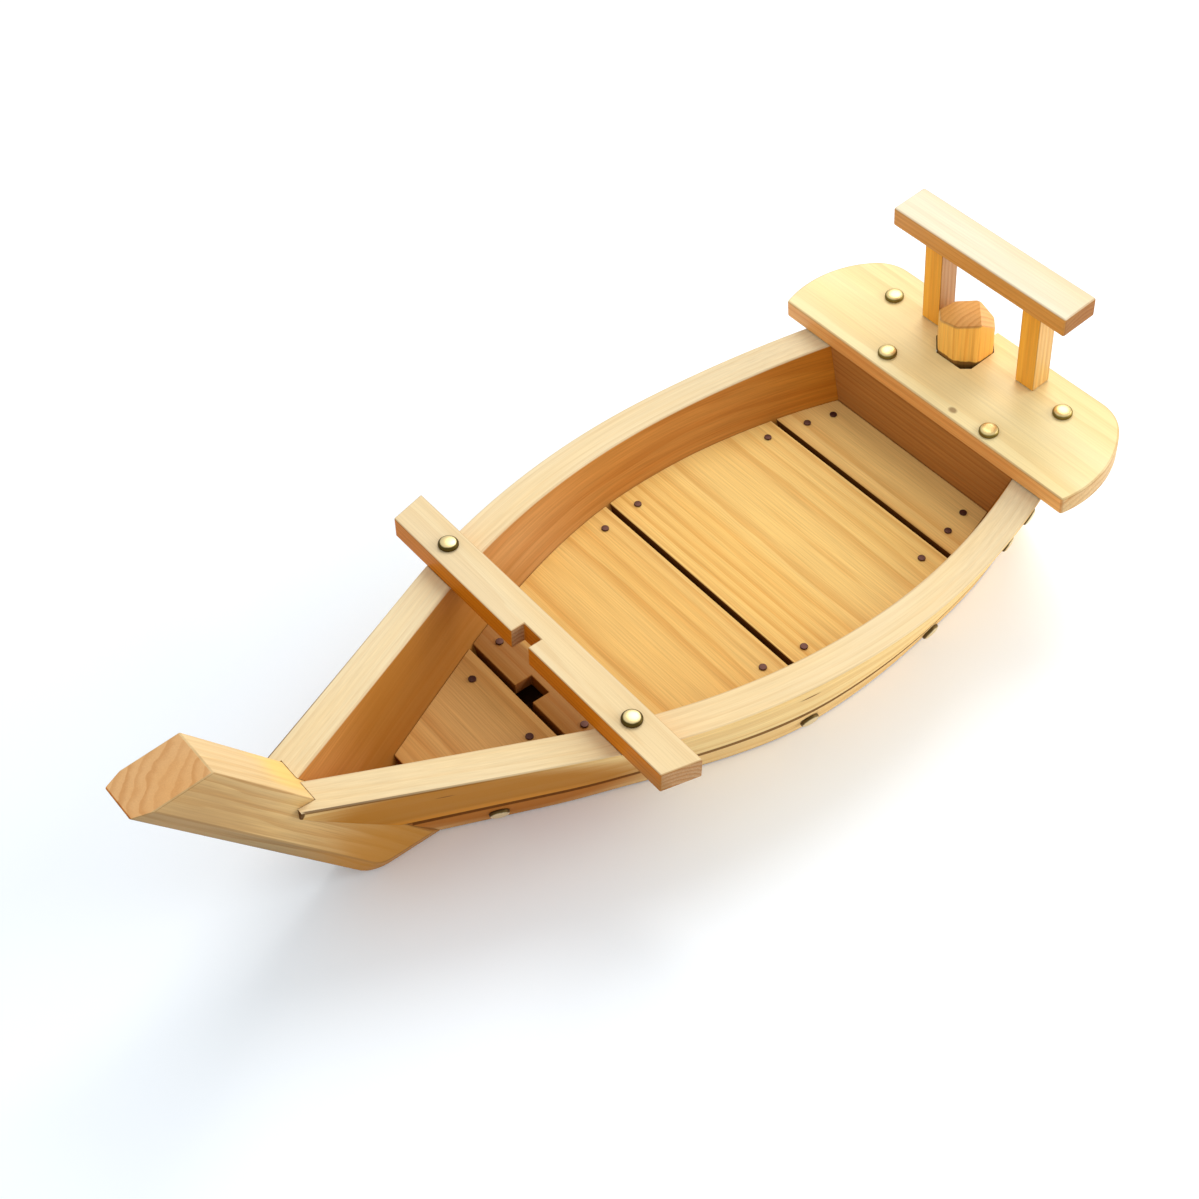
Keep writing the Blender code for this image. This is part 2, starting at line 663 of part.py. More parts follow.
def drive_dome_nails(frame, strakes, beam, deck, bottom, transom):
    profile = nail_profile(DOME_DIAMETER, DOME_HEIGHT, DOME_RINGS, SHANK_DIAMETER, SHANK_LENGTH)
    mesh = turned("dome_nail", profile, BRASS)
    uppers = [strakes["upper", name] for name, sign in SIDES]

    beam_top = beam_seat() + GAP + BEAM_THICKNESS
    y = breadth(BEAM_MID_X, STRAKE / 2)
    places = [("beam_nail_" + name, (BEAM_MID_X, sign * y, beam_top), (0, 0, 1)) for name, sign in SIDES]
    drive_nails("beam_nail", mesh, SHANK_DIAMETER, SHANK_LENGTH, places, [beam] + uppers)

    middle = (TRANSOM_MID_X - DECK_X) / math.cos(DECK_TILT)
    end = inside(TRANSOM_MID_X, sheer(TRANSOM_MID_X))
    rear_y = breadth(DECK_X + DECK_REAR_NAIL_SETBACK * math.cos(DECK_TILT), STRAKE / 2)
    places = []
    for (name, sign), inset, shift in zip(SIDES, DECK_FRONT_NAIL_INSETS, DECK_FRONT_NAIL_SHIFTS):
        front = (middle + shift, sign * (end - inset), DECK_THICKNESS)
        rear = (DECK_REAR_NAIL_SETBACK, sign * rear_y, DECK_THICKNESS)
        places.append(("deck_nail_front_" + name, front, (0, 0, 1)))
        places.append(("deck_nail_rear_" + name, rear, (0, 0, 1)))
    drive_nails("deck_nail", mesh, SHANK_DIAMETER, SHANK_LENGTH, places, [deck, transom] + uppers, frame)

    first = bow_end(STRAKE_NAIL_BOW_WIDTH / 2, STRAKE_NAIL_Z, side)
    row = [first + sum(STRAKE_NAIL_SPACING[:i]) for i in range(len(STRAKE_NAIL_SPACING) + 1)]
    # the transom nail leans with the side and so starts behind the spot that it enters
    last = TRANSOM_MID_X + side_normal(TRANSOM_MID_X, TRANSOM_NAIL_Z).x * STRAKE
    for name, sign in SIDES:
        spots = [("strake_nail_%s_%d" % (name, i), x, STRAKE_NAIL_Z) for i, x in enumerate(row, 1)]
        spots.append(("transom_nail_" + name, last, TRANSOM_NAIL_Z))
        places = []
        for label, x, z in spots:
            normal = side_normal(x, z)
            places.append((label, (x, sign * side(x, z), z), (normal.x, sign * normal.y, normal.z)))
        pieces = (strakes["upper", name], strakes["lower", name], bottom, transom)
        drive_nails("strake_nail_" + name, mesh, SHANK_DIAMETER, SHANK_LENGTH, places, pieces)


def drive_floor_nails(boards, ledges):
    profile = nail_profile(FLOOR_HEAD_DIAMETER, FLOOR_HEAD_HEIGHT, 0,
                           FLOOR_SHANK_DIAMETER, FLOOR_SHANK_LENGTH)
    mesh = turned("floor_nail", profile, STEEL)
    rows = [rear - FLOOR_NAIL_EDGE for front, rear in floor_spans()]
    rows += [front + FLOOR_NAIL_EDGE for front, rear in floor_spans()[1:]]
    places = []
    for number, x in enumerate(sorted(rows), 1):
        y = inside(x, FLOOR_UNDERSIDE) - FLOOR_NAIL_END
        for name, sign in SIDES:
            places.append(("floor_nail_%s_%d" % (name, number), (x, sign * y, FLOOR_TOP), (0, 0, 1)))
    drive_nails("floor_nail", mesh, FLOOR_SHANK_DIAMETER, FLOOR_SHANK_LENGTH, places,
                boards + list(ledges.values()))


def main():
    make_stem()
    strakes = make_strakes()
    bottom = make_bottom()
    transom = make_transom()
    boards = make_floor()
    ledges = make_ledges()
    beam = make_beam(strakes)
    frame = make_deck_frame()
    deck = make_deck(frame)
    make_handle(frame, deck)
    make_rudder(frame)
    drive_dome_nails(frame, strakes, beam, deck, bottom, transom)
    drive_floor_nails(boards, ledges)


main()
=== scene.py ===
# Looks for the wooden serving boat: lacquered pine boards, brass nails and a pale studio.
# Metres, +Z up, bow towards -X and port towards -Y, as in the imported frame.

import math

import bmesh
import bpy
import numpy as np
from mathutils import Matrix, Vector


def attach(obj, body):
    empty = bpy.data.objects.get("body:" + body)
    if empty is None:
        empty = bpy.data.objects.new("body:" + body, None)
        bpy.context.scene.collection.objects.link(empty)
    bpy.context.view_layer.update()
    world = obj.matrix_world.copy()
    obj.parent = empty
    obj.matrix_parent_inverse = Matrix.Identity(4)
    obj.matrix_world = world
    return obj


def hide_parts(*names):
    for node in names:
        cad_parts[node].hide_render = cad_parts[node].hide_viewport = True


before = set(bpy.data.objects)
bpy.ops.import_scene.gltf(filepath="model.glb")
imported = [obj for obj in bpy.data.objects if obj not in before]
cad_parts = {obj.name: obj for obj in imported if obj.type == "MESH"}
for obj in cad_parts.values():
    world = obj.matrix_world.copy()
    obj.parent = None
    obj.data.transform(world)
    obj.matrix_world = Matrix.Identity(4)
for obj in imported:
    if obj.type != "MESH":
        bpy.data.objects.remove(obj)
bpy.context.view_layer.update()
scene = bpy.context.scene
print("frame loaded:", len(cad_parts), "nodes")


# camera and studio

view = dict(azimuth=-39.145, elevation=48.02, place=(-0.44167, -0.52329, 0.84243), lens=56.74, sensor=36.0)
studio = dict(
    worldTone=(0.90, 0.96, 1.0), worldPower=0.82, lightTone=(1.0, 0.985, 0.96),
    lights=(
        dict(name="softKey", place=(0.95, 0.65, 1.50), size=1.2, power=15.0),
        dict(name="sideFill", place=(1.30, -0.90, 0.60), size=1.1, power=13.4),
        dict(name="frontFill", place=(-1.30, -1.50, 0.30), size=0.9, power=3.5),
    ),
    floorSize=6.0, floorTone=(0.95, 0.97, 1.00), floorRoughness=0.9, floorSpecular=0.1,
)


def addObject(name, data):
    made = bpy.data.objects.new(name, data)
    scene.collection.objects.link(made)
    return made


def newFinish(name):
    # an empty finish and its shader
    made = bpy.data.materials.new(name)
    made.use_nodes = True
    return made, made.node_tree.nodes["Principled BSDF"]


def setCamera():
    lens = bpy.data.cameras.new("photoCamera")
    lens.sensor_width = view["sensor"]
    lens.lens = view["lens"]
    camera = addObject("photoCamera", lens)
    camera.location = view["place"]
    camera.rotation_euler = (math.radians(90 - view["elevation"]), 0, math.radians(view["azimuth"]))
    scene.camera = camera


def setStudio():
    # an even sky, round lamps that face the boat, and a square of pale paper under it
    world = bpy.data.worlds.new("studioWorld")
    world.use_nodes = True
    sky = world.node_tree.nodes["Background"]
    sky.inputs["Color"].default_value = (*studio["worldTone"], 1)
    sky.inputs["Strength"].default_value = studio["worldPower"]
    scene.world = world
    scene.view_settings.view_transform = "Standard"

    for light in studio["lights"]:
        panel = bpy.data.lights.new(light["name"], "AREA")
        panel.shape = "DISK"
        panel.size = light["size"]
        panel.energy = light["power"]
        panel.color = studio["lightTone"]
        lamp = addObject(light["name"], panel)
        lamp.location = light["place"]
        lamp.rotation_euler = Vector(light["place"]).to_track_quat("Z", "Y").to_euler()

    half = studio["floorSize"] / 2
    mesh = bpy.data.meshes.new("paleFloor")
    corners = [(-half, -half, 0), (half, -half, 0), (half, half, 0), (-half, half, 0)]
    mesh.from_pydata(corners, [], [(0, 1, 2, 3)])
    floor = addObject("paleFloor", mesh)
    paper, shader = newFinish("palePaper")
    shader.inputs["Base Color"].default_value = (*studio["floorTone"], 1)
    shader.inputs["Roughness"].default_value = studio["floorRoughness"]
    shader.inputs["Specular IOR Level"].default_value = studio["floorSpecular"]
    mesh.materials.append(paper)


setCamera()
setStudio()
print("camera and studio set")


# shader helpers

def tone(red, green, blue):
    # a colour as a screen shows it, 0 to 255, made linear for a shader
    seen = np.array((red, green, blue)) / 255
    linear = np.where(seen > 0.04045, ((seen + 0.055) / 1.055) ** 2.4, seen / 12.92)
    return (*linear.tolist(), 1.0)


def put(tree, kind, sockets=None, **settings):
    # a node with its settings, and its sockets linked or given a value
    made = tree.nodes.new(kind)
    for key, value in settings.items():
        setattr(made, key, value)
    for key, value in (sockets or {}).items():
        if isinstance(value, bpy.types.NodeSocket):
            tree.links.new(value, made.inputs[key])
        else:
            made.inputs[key].default_value = value
    return made


def work(tree, operation, *values):
    return put(tree, "ShaderNodeMath", dict(enumerate(values)), operation=operation).outputs[0]


def vectorWork(tree, operation, *values):
    made = put(tree, "ShaderNodeVectorMath", dict(enumerate(values)), operation=operation)
    return made.outputs["Value" if operation in ("LENGTH", "DOT_PRODUCT", "DISTANCE") else "Vector"]


def mixTone(tree, share, first, second, way="MIX"):
    made = put(tree, "ShaderNodeMix", {0: share, 6: first, 7: second}, data_type="RGBA", blend_type=way)
    return made.outputs[2]


def mixValue(tree, share, first, second):
    made = put(tree, "ShaderNodeMix", {0: share, 2: first, 3: second}, data_type="FLOAT")
    return made.outputs[0]


def rise(tree, value, low, high, first=0.0, last=1.0):
    # goes smoothly from first to last while the value goes from low to high
    sockets = {"Value": value, "From Min": low, "From Max": high, "To Min": first, "To Max": last}
    return put(tree, "ShaderNodeMapRange", sockets, interpolation_type="SMOOTHSTEP").outputs[0]


def stored(tree, name, kind="Fac"):
    # a value written on the piece's points
    return put(tree, "ShaderNodeAttribute", attribute_name=name).outputs[kind]


def noise(tree, vector, stretch, detail, roughness=0.55):
    # cloudy values from 0 to 1, finer along an axis the more that axis is stretched
    spread = vectorWork(tree, "MULTIPLY", vector, stretch)
    sockets = {"Vector": spread, "Scale": 1.0, "Detail": detail, "Roughness": roughness}
    return put(tree, "ShaderNodeTexNoise", sockets).outputs[0]


def setBump(tree, shader, look, height):
    sockets = {"Strength": look["bump"], "Distance": look["bumpDepth"], "Height": height}
    tree.links.new(put(tree, "ShaderNodeBump", sockets).outputs[0], shader.inputs["Normal"])


# pine

pineBase = dict(
    top=tone(245, 220, 176),  # faces that look up, as lit from above
    side=tone(205, 150, 78),  # upright faces: painted shade, darker and more orange than the tops
    front=None,  # upright faces towards the bow, where they differ: painted shade
    inside=tone(200, 128, 44),  # upright faces inside the hull: painted shade
    end=tone(216, 160, 104),  # end grain
    late=(0.74, 0.52, 0.30, 1),  # what a dark summer ring does to the colour
    warm=(1.0, 0.90, 0.72, 1),  # what the slow drift of tone does to it
    under=(0.62, -0.55, -0.15),  # painted shade on undersides: their brightness, and the slopes it sets in between
    endFacing=(0.75, 0.95), aheadFacing=(0.55, 0.85), levelFacing=(0.25, 0.80), innerSpan=(0.45, 0.55),
    noises=dict(wave=((7, 55, 55), 2.0), ripple=((30, 240, 240), 1.0), fibre=((22, 1100, 1100), 3.0),
                pores=((1500, 1500, 1500), 1.0), drift=((4, 26, 26), 2.0)),  # stretch and detail of each
    ringStep=0.0034, ringWave=0.0020, rippleShare=0.35,
    ringRise=(0.25, 0.85), ringFall=(0.90, 1.0), ringLeast=0.45,
    topDepth=0.20, sideDepth=0.42, endDepth=0.75,  # strength of the rings
    topFibre=0.30, sideFibre=0.66, drift=0.60, driftSpan=(0.42, 0.70),
    # edge wear on rounded edges; the side boards use the same tone for painted shade in the seam groove and
    # along the gunwale's outer edge
    wornTone=tone(150, 96, 42), worn=0.45, wornLeast=0.35, edgeWearAndShadeSpan=(0.35, 0.60),
    shade=0.87,  # brightness of the whole finish
    roughness=0.38, lateGloss=0.10, endGloss=0.14, fibreGloss=0.10,
    coat=0.12, coatRoughness=0.22, specular=0.20,
    bump=0.22, bumpDepth=0.0004, lateDip=-0.35,
    along=(1.0, 0.0, 0.0),  # direction of the grain
    attribute=True,  # reads the piece's own grain attribute
    pith=(0.0, 0.0, -0.07),  # a point on the pith, for a piece without that attribute
    stains=(),
)
patchBase = dict(core=0.4, ragged=0.6, sides=False)  # full up to its core; with sides, not on level faces


def pine(name, **changes):
    # Solid wood: rings by distance from the pith, fibres drawn out along the grain, both read from the
    # grain coordinates (metres along the grain, and two across from the pith), so end grain and long
    # grain agree at every edge.
    look = {**pineBase, **changes}
    made, shader = newFinish(name)
    tree = made.node_tree
    place = put(tree, "ShaderNodeTexCoord").outputs["Object"]
    if look["attribute"]:
        grain = stored(tree, "grain", "Vector")
    else:
        along = Vector(look["along"])
        across = along.orthogonal().normalized()
        away = vectorWork(tree, "SUBTRACT", place, look["pith"])
        ways = (along, across, along.cross(across))
        spans = [vectorWork(tree, "DOT_PRODUCT", away, tuple(way)) for way in ways]
        grain = put(tree, "ShaderNodeCombineXYZ", dict(enumerate(spans))).outputs[0]
    normal = put(tree, "ShaderNodeNewGeometry").outputs["Normal"]
    upward = vectorWork(tree, "DOT_PRODUCT", normal, (0, 0, 1))
    endOn = vectorWork(tree, "DOT_PRODUCT", normal, look["along"])
    endOn = rise(tree, work(tree, "ABSOLUTE", endOn), *look["endFacing"])
    across = vectorWork(tree, "MULTIPLY", grain, (0, 1, 1))
    wave, ripple, fibre, pores, drift = (noise(tree, grain, *kind) for kind in look["noises"].values())

    # rings, each of its own strength
    radius = vectorWork(tree, "LENGTH", across)
    radius = work(tree, "MULTIPLY_ADD", wave, look["ringWave"] * 2, radius)
    radius = work(tree, "MULTIPLY_ADD", ripple, look["ringWave"] * look["rippleShare"], radius)
    count = work(tree, "DIVIDE", radius, look["ringStep"])
    part = work(tree, "FRACT", count)
    fade = rise(tree, part, *look["ringFall"], 1.0, 0.0)
    late = work(tree, "MULTIPLY", rise(tree, part, *look["ringRise"]), fade)
    ringKind = put(tree, "ShaderNodeTexWhiteNoise", {"W": work(tree, "FLOOR", count)}, noise_dimensions="1D")
    late = work(tree, "MULTIPLY", late, rise(tree, ringKind.outputs[0], 0.0, 1.0, look["ringLeast"], 1.0))

    # painted light and shade by the way a face looks: pale tops, darker and more orange upright, bow-facing
    # and inner faces; end grain has its own tone
    inner = stored(tree, "inner")
    ahead = rise(tree, vectorWork(tree, "DOT_PRODUCT", normal, (-1, 0, 0)), *look["aheadFacing"])
    upright = mixTone(tree, ahead, look["side"], look["front"] or look["side"])
    upright = mixTone(tree, rise(tree, inner, *look["innerSpan"]), upright, look["inside"])
    level = rise(tree, upward, *look["levelFacing"])
    body = mixTone(tree, level, upright, look["top"])
    body = mixTone(tree, endOn, body, look["end"])
    depth = mixValue(tree, level, look["sideDepth"], look["topDepth"])
    depth = mixValue(tree, endOn, depth, look["endDepth"])
    ringed = mixTone(tree, 1.0, body, look["late"], "MULTIPLY")
    body = mixTone(tree, work(tree, "MULTIPLY", late, depth), body, ringed)

    # fibres on long grain and pores on end grain, painted shade on undersides, and slow drift of tone
    spread = mixValue(tree, level, look["sideFibre"], look["topFibre"])
    streak = work(tree, "SUBTRACT", mixValue(tree, endOn, fibre, pores), 0.5)
    streak = work(tree, "MULTIPLY_ADD", streak, spread, 1.0)
    dim, lowest, highest = look["under"]
    dimming = rise(tree, upward, lowest, highest, dim * look["shade"], look["shade"])
    body = mixTone(tree, 1.0, body, work(tree, "MULTIPLY", streak, dimming), "MULTIPLY")
    warm = mixTone(tree, 1.0, body, look["warm"], "MULTIPLY")
    body = mixTone(tree, rise(tree, drift, *look["driftSpan"], 0.0, look["drift"]), body, warm)

    # stains, knots and painted shade patches, then edge wear and painted edge shade
    for stain in ({**patchBase, **mark} for mark in look["stains"]):
        away = vectorWork(tree, "SUBTRACT", place, stain["place"])
        away = vectorWork(tree, "LENGTH", vectorWork(tree, "DIVIDE", away, stain["reach"]))
        away = work(tree, "MULTIPLY_ADD", work(tree, "SUBTRACT", ripple, 0.5), stain["ragged"], away)
        mask = rise(tree, away, stain["core"], 1.0, stain["share"], 0.0)
        if stain["sides"]:
            mask = work(tree, "MULTIPLY", mask, work(tree, "SUBTRACT", 1.0, level))
        body = mixTone(tree, mask, body, stain["tone"])
    worn = stored(tree, "worn")
    worn = work(tree, "MULTIPLY", worn, rise(tree, drift, *look["edgeWearAndShadeSpan"], look["wornLeast"], 1.0))
    body = mixTone(tree, work(tree, "MULTIPLY", worn, look["worn"]), body, look["wornTone"])
    tree.links.new(body, shader.inputs["Base Color"])

    # satin lacquer over slightly open grain
    gloss = work(tree, "MULTIPLY_ADD", late, look["lateGloss"], look["roughness"])
    gloss = work(tree, "MULTIPLY_ADD", endOn, look["endGloss"], gloss)
    gloss = work(tree, "MULTIPLY_ADD", fibre, look["fibreGloss"], gloss)
    tree.links.new(gloss, shader.inputs["Roughness"])
    setBump(tree, shader, look, work(tree, "MULTIPLY_ADD", late, look["lateDip"], fibre))
    shader.inputs["Specular IOR Level"].default_value = look["specular"]
    shader.inputs["Coat Weight"].default_value = look["coat"]
    shader.inputs["Coat Roughness"].default_value = look["coatRoughness"]
    return made


# meshes

making = dict(
    mergeWithin=0.000001,  # points closer than this are one
    narrowFace=0.0012,  # faces narrower than this belong to a rounded edge
    roundSteps=4, roundFrom=math.radians(20), sharpFrom=math.radians(30),
    overcut=0.004,  # how far a cutting shape reaches past the wood
)


def surface(grid, capped=True):
    # rows of points, each row a closed ring, joined row to row; a flat face shuts each end
    rows, columns = grid.shape[:2]
    i, j = np.meshgrid(np.arange(rows - 1), np.arange(columns), indexing="ij")
    k = (j + 1) % columns
    corners = (i * columns + j, i * columns + k, (i + 1) * columns + k, (i + 1) * columns + j)
    faces = np.stack(corners, -1).reshape(-1, 4).tolist()
    if capped:
        faces.append(np.arange(columns)[::-1].tolist())
        faces.append(((rows - 1) * columns + np.arange(columns)).tolist())
    mesh = bpy.data.meshes.new("grid")
    mesh.from_pydata(grid.reshape(-1, 3).tolist(), [], faces)
    form = bmesh.new()
    form.from_mesh(mesh)
    bmesh.ops.remove_doubles(form, verts=form.verts, dist=making["mergeWithin"])
    bmesh.ops.recalc_face_normals(form, faces=form.faces)
    form.to_mesh(mesh)
    form.free()
    return mesh


def slab(outline, low, high):
    # a flat outline carried straight up from one height to another
    outline = np.asarray(outline, float)
    heights = np.array((low, high))
    rows = np.repeat(outline[None], 2, 0)
    return np.concatenate((rows, np.repeat(heights[:, None, None], len(outline), 1)), -1)


def block(low, high):
    # a square-cornered bar between two opposite corners
    (x0, y0, z0), (x1, y1, z1) = low, high
    return slab(((x0, y0), (x1, y0), (x1, y1), (x0, y1)), z0, z1)


def arc(centre, radius, first, last, steps=24):
    # points at even angles round a centre
    angle = np.linspace(first, last, steps + 1)
    return np.stack((centre[0] + radius * np.cos(angle), centre[1] + radius * np.sin(angle)), -1)


def pointsOf(mesh):
    flat = np.empty(len(mesh.vertices) * 3)
    mesh.vertices.foreach_get("co", flat)
    return flat.reshape(-1, 3)


def roundedEdges(mesh):
    # 1 on points that touch only narrow faces, as on a rounded edge, where a face's width is twice its
    # area over half its outline
    loops = len(mesh.loops)
    vertex = np.empty(loops, int)
    mesh.loops.foreach_get("vertex_index", vertex)
    totals = np.empty(len(mesh.polygons), int)
    areas = np.empty(len(mesh.polygons))
    mesh.polygons.foreach_get("loop_total", totals)
    mesh.polygons.foreach_get("area", areas)
    face = np.repeat(np.arange(len(totals)), totals)
    starts = np.cumsum(totals) - totals
    following = np.arange(loops) + 1
    following[starts + totals - 1] = starts
    points = pointsOf(mesh)
    lengths = np.linalg.norm(points[vertex[following]] - points[vertex], axis=1)
    outline = np.bincount(face, lengths, len(totals))
    narrow = (4 * areas / outline) < making["narrowFace"]
    wide = np.zeros(len(points))
    np.maximum.at(wide, vertex, np.where(narrow[face], 0.0, 1.0))
    return 1 - wide


def writeValues(mesh, name, values):
    kind, field = ("FLOAT_VECTOR", "vector") if values.ndim == 2 else ("FLOAT", "value")
    made = mesh.attributes.new(name, kind, "POINT")
    made.data.foreach_set(field, values.astype(np.float32).ravel())


def combine(piece, grid, operation="DIFFERENCE"):
    # cuts a solid out of a piece, or joins it on
    tool = addObject("trim", surface(grid))
    trim = piece.modifiers.new("trim", "BOOLEAN")
    trim.operation = operation
    trim.solver = "EXACT"
    trim.object = tool
    return tool


def settle(piece):
    # the piece's mesh with its modifiers worked in
    graph = bpy.context.evaluated_depsgraph_get()
    piece.data = bpy.data.meshes.new_from_object(piece.evaluated_get(graph))
    piece.modifiers.clear()
    return piece.data


def finishPiece(name, rows, node, material, grain=None, inner=None, edgeScale=None, edge=0.0, cuts=(),
                slots=(), pegs=(), body="boat", capped=True):
    # makes, trims and rounds a piece, cuts its sharp slots, joins its sharp pegs, settles its normals, and
    # writes the values that its finish reads
    piece = addObject(name, surface(rows, capped))
    tools = [combine(piece, grid) for grid in cuts]
    if edge:
        bevel = piece.modifiers.new("edge", "BEVEL")
        bevel.width = edge
        bevel.segments = making["roundSteps"]
        bevel.limit_method = "ANGLE"
        bevel.angle_limit = making["roundFrom"]
    tools += [combine(piece, grid) for grid in slots]
    tools += [combine(piece, grid, "UNION") for grid in pegs]
    done = settle(piece)
    done.shade_smooth()
    done.set_sharp_from_angle(angle=making["sharpFrom"])
    level = piece.modifiers.new("level", "WEIGHTED_NORMAL")
    level.keep_sharp = True
    done = settle(piece)
    done.name = name
    for tool in tools:
        bpy.data.objects.remove(tool)
    if grain:
        writeValues(done, "grain", grain(pointsOf(done)))
        worn = roundedEdges(done)
        writeValues(done, "worn", worn * edgeScale(pointsOf(done)) if edgeScale else worn)
    if inner:
        writeValues(done, "inner", inner(pointsOf(done)))
    done.materials.clear()
    done.materials.append(material)
    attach(piece, body)
    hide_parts(node)
    return piece


def straightGrain(pith, along, across):
    # grain coordinates of a straight board: along its grain, and two ways across it from the pith
    along = np.array(along, float)
    across = np.array(across, float)
    axes = np.stack((along, across, np.cross(along, across)), -1)
    return lambda points: (points - np.array(pith)) @ axes


# hull form

hull = dict(
    breadth=0.2326, breadthX=0.095, sideRadius=0.440, bowLap=0.0042,
    sheerLow=0.0825, sheerLowX=0.110, sheerBowRadius=4.35, sheerSternRadius=0.893,
    flareBow=0.044, flareMiddle=0.032, flareStern=0.028, flareBowSpan=(-0.055, 0.075),
    flareSternSpan=(0.150, 0.250),
    strake=0.0205, bowX=-0.2165, sternX=0.286, seamZ=0.030, gap=0.0003, samples=20001,
)
stem = dict(
    footX=-0.180, rake=math.radians(52.8), width=0.0302, depth=0.0356, top=0.155,
    endTilt=math.radians(4.8), heelRadius=0.025, chamferDepth=0.0088, chamferWidth=0.0039, edge=0.0009,
    pithY=-0.045, pithDepth=0.066,
)
deck = dict(
    x=0.225, length=0.0704, width=0.2286, widest=0.019, sideRadius=0.0644, cornerRadius=0.027,
    thickness=0.0127, edge=0.0014, pith=(0.030, 0.5, -0.045),
)

centreY = hull["breadth"] / 2 - hull["sideRadius"]
bowRun = hull["breadthX"] - hull["bowX"]
bowRise = centreY - stem["width"] / 2 - hull["bowLap"]
bowAngle = math.atan2(bowRise, bowRun) + math.asin(hull["sideRadius"] / math.hypot(bowRun, bowRise))
deckSlope = (deck["x"] - hull["sheerLowX"]) / hull["sheerSternRadius"]
deckTilt = math.atan(deckSlope)


def sheerAt(x):
    # gunwale height: an arc each side of its lowest point, straight under the deck
    ahead = np.maximum(hull["sheerLowX"] - x, 0)
    behind = np.clip(x, hull["sheerLowX"], deck["x"]) - hull["sheerLowX"]
    straight = np.maximum(x - deck["x"], 0) * deckSlope
    return (hull["sheerLow"] + ahead ** 2 / (2 * hull["sheerBowRadius"])
            + behind ** 2 / (2 * hull["sheerSternRadius"]) + straight)


def breadthAt(x, inward):
    # half breadth at the gunwale, moved inward square to the plan curve: an arc, then a straight run
    radius = hull["sideRadius"] - inward
    ahead = hull["breadthX"] - x
    run = ahead - radius * math.sin(bowAngle)
    curved = centreY + np.sqrt(np.maximum(radius ** 2 - ahead ** 2, 0))
    return np.where(run > 0, centreY + radius * math.cos(bowAngle) - run * math.tan(bowAngle), curved)


def smooth(x, span):
    # 0 ahead of a length of the hull and 1 behind it, with an even change along it
    t = np.clip((x - span[0]) / (span[1] - span[0]), 0, 1)
    return t * t * (3 - 2 * t)


def sideAt(x, z, inward=0.0):
    # half breadth of the leaning side: the gunwale's, less a lean that grows towards the bottom
    middle = hull["flareMiddle"]
    lean = middle + (hull["flareBow"] - middle) * (1 - smooth(x, hull["flareBowSpan"]))
    lean = lean + (hull["flareStern"] - middle) * smooth(x, hull["flareSternSpan"])
    return breadthAt(x, inward) - lean * (1 - z / sheerAt(x))


def insideAt(x, z):
    # half breadth inside the side boards, less a fitting gap
    return sideAt(x, z, hull["strake"]) - hull["gap"]


def bowEnd(half, z, width=insideAt):
    # where the hull, followed towards the bow, has narrowed to a half breadth
    x = np.linspace(hull["bowX"], hull["breadthX"], hull["samples"])
    return float(np.interp(half, width(x, np.full_like(x, z)), x))


def sideNormal(x, z):
    # square to the starboard side: the cross product of its two slopes
    step = 0.001
    along = np.array((2 * step, sideAt(x + step, z) - sideAt(x - step, z), 0))
    upward = np.array((0, sideAt(x, z + step) - sideAt(x, z - step), 2 * step))
    normal = np.cross(upward, along)
    return normal / np.linalg.norm(normal)


def onDeck(points):
    # deck axes (aft along the deck, to starboard, square to the deck) turned into the frame's
    x, y, z = np.moveaxis(np.asarray(points, float), -1, 0)
    base = float(sheerAt(deck["x"])) + hull["gap"]
    c, s = math.cos(deckTilt), math.sin(deckTilt)
    return np.stack((deck["x"] + x * c - z * s, y, base + x * s + z * c), -1)


deckUp = (-math.sin(deckTilt), 0.0, math.cos(deckTilt))
deckAft = (math.cos(deckTilt), 0.0, math.sin(deckTilt))
crosswise = (0, 1, 0)
sides = (("port", -1), ("starboard", 1))


# bow stem

stemUp = np.array((-math.cos(stem["rake"]), 0, math.sin(stem["rake"])))
stemBack = np.array((math.sin(stem["rake"]), 0, math.cos(stem["rake"])))
stem["stains"] = (  # a yellow patch behind, a dark heel, and painted shade greying the upper port side
    dict(place=(-0.2115, 0.0069, 0.1004), reach=(0.028, 0.028, 0.028), share=0.75, core=0.1,
         tone=tone(247, 200, 110)),
    dict(place=(-0.172, -0.0151, 0.014), reach=(0.092, 0.030, 0.080), share=0.85, core=0.15, ragged=0.3,
         tone=tone(179, 119, 38)),
    dict(place=(-0.285, -0.0151, 0.125), reach=(0.075, 0.020, 0.070), share=0.70, core=0.1,
         tone=tone(168, 132, 86), sides=True),
)


def stemOutline(ease):
    # side view of the stem: a raked bar with a tilted top, its front and foot joined by a round heel
    up, back = stemUp[[0, 2]], stemBack[[0, 2]]
    corner = np.array((stem["footX"], 0.0))
    front = corner + back * ease
    rear = corner + back * stem["depth"]
    slope = math.tan(stem["endTilt"])
    topRear = rear + up * ((stem["top"] - rear[1]) / up[1])
    climb = topRear[1] - front[1] - slope * (topRear[0] - front[0])
    topFront = front + up * (climb / (up[1] - slope * up[0]))
    footFront = front + up * ((ease - front[1]) / up[1])
    footRear = rear + up * ((ease - rear[1]) / up[1])
    radius = stem["heelRadius"] - ease
    heel = (footFront[0] + radius / math.tan((math.pi - stem["rake"]) / 2), ease + radius)
    bend = arc(heel, radius, math.pi * 1.5 - stem["rake"], math.pi * 1.5)
    return np.concatenate((topRear[None], topFront[None], bend, footRear[None]))


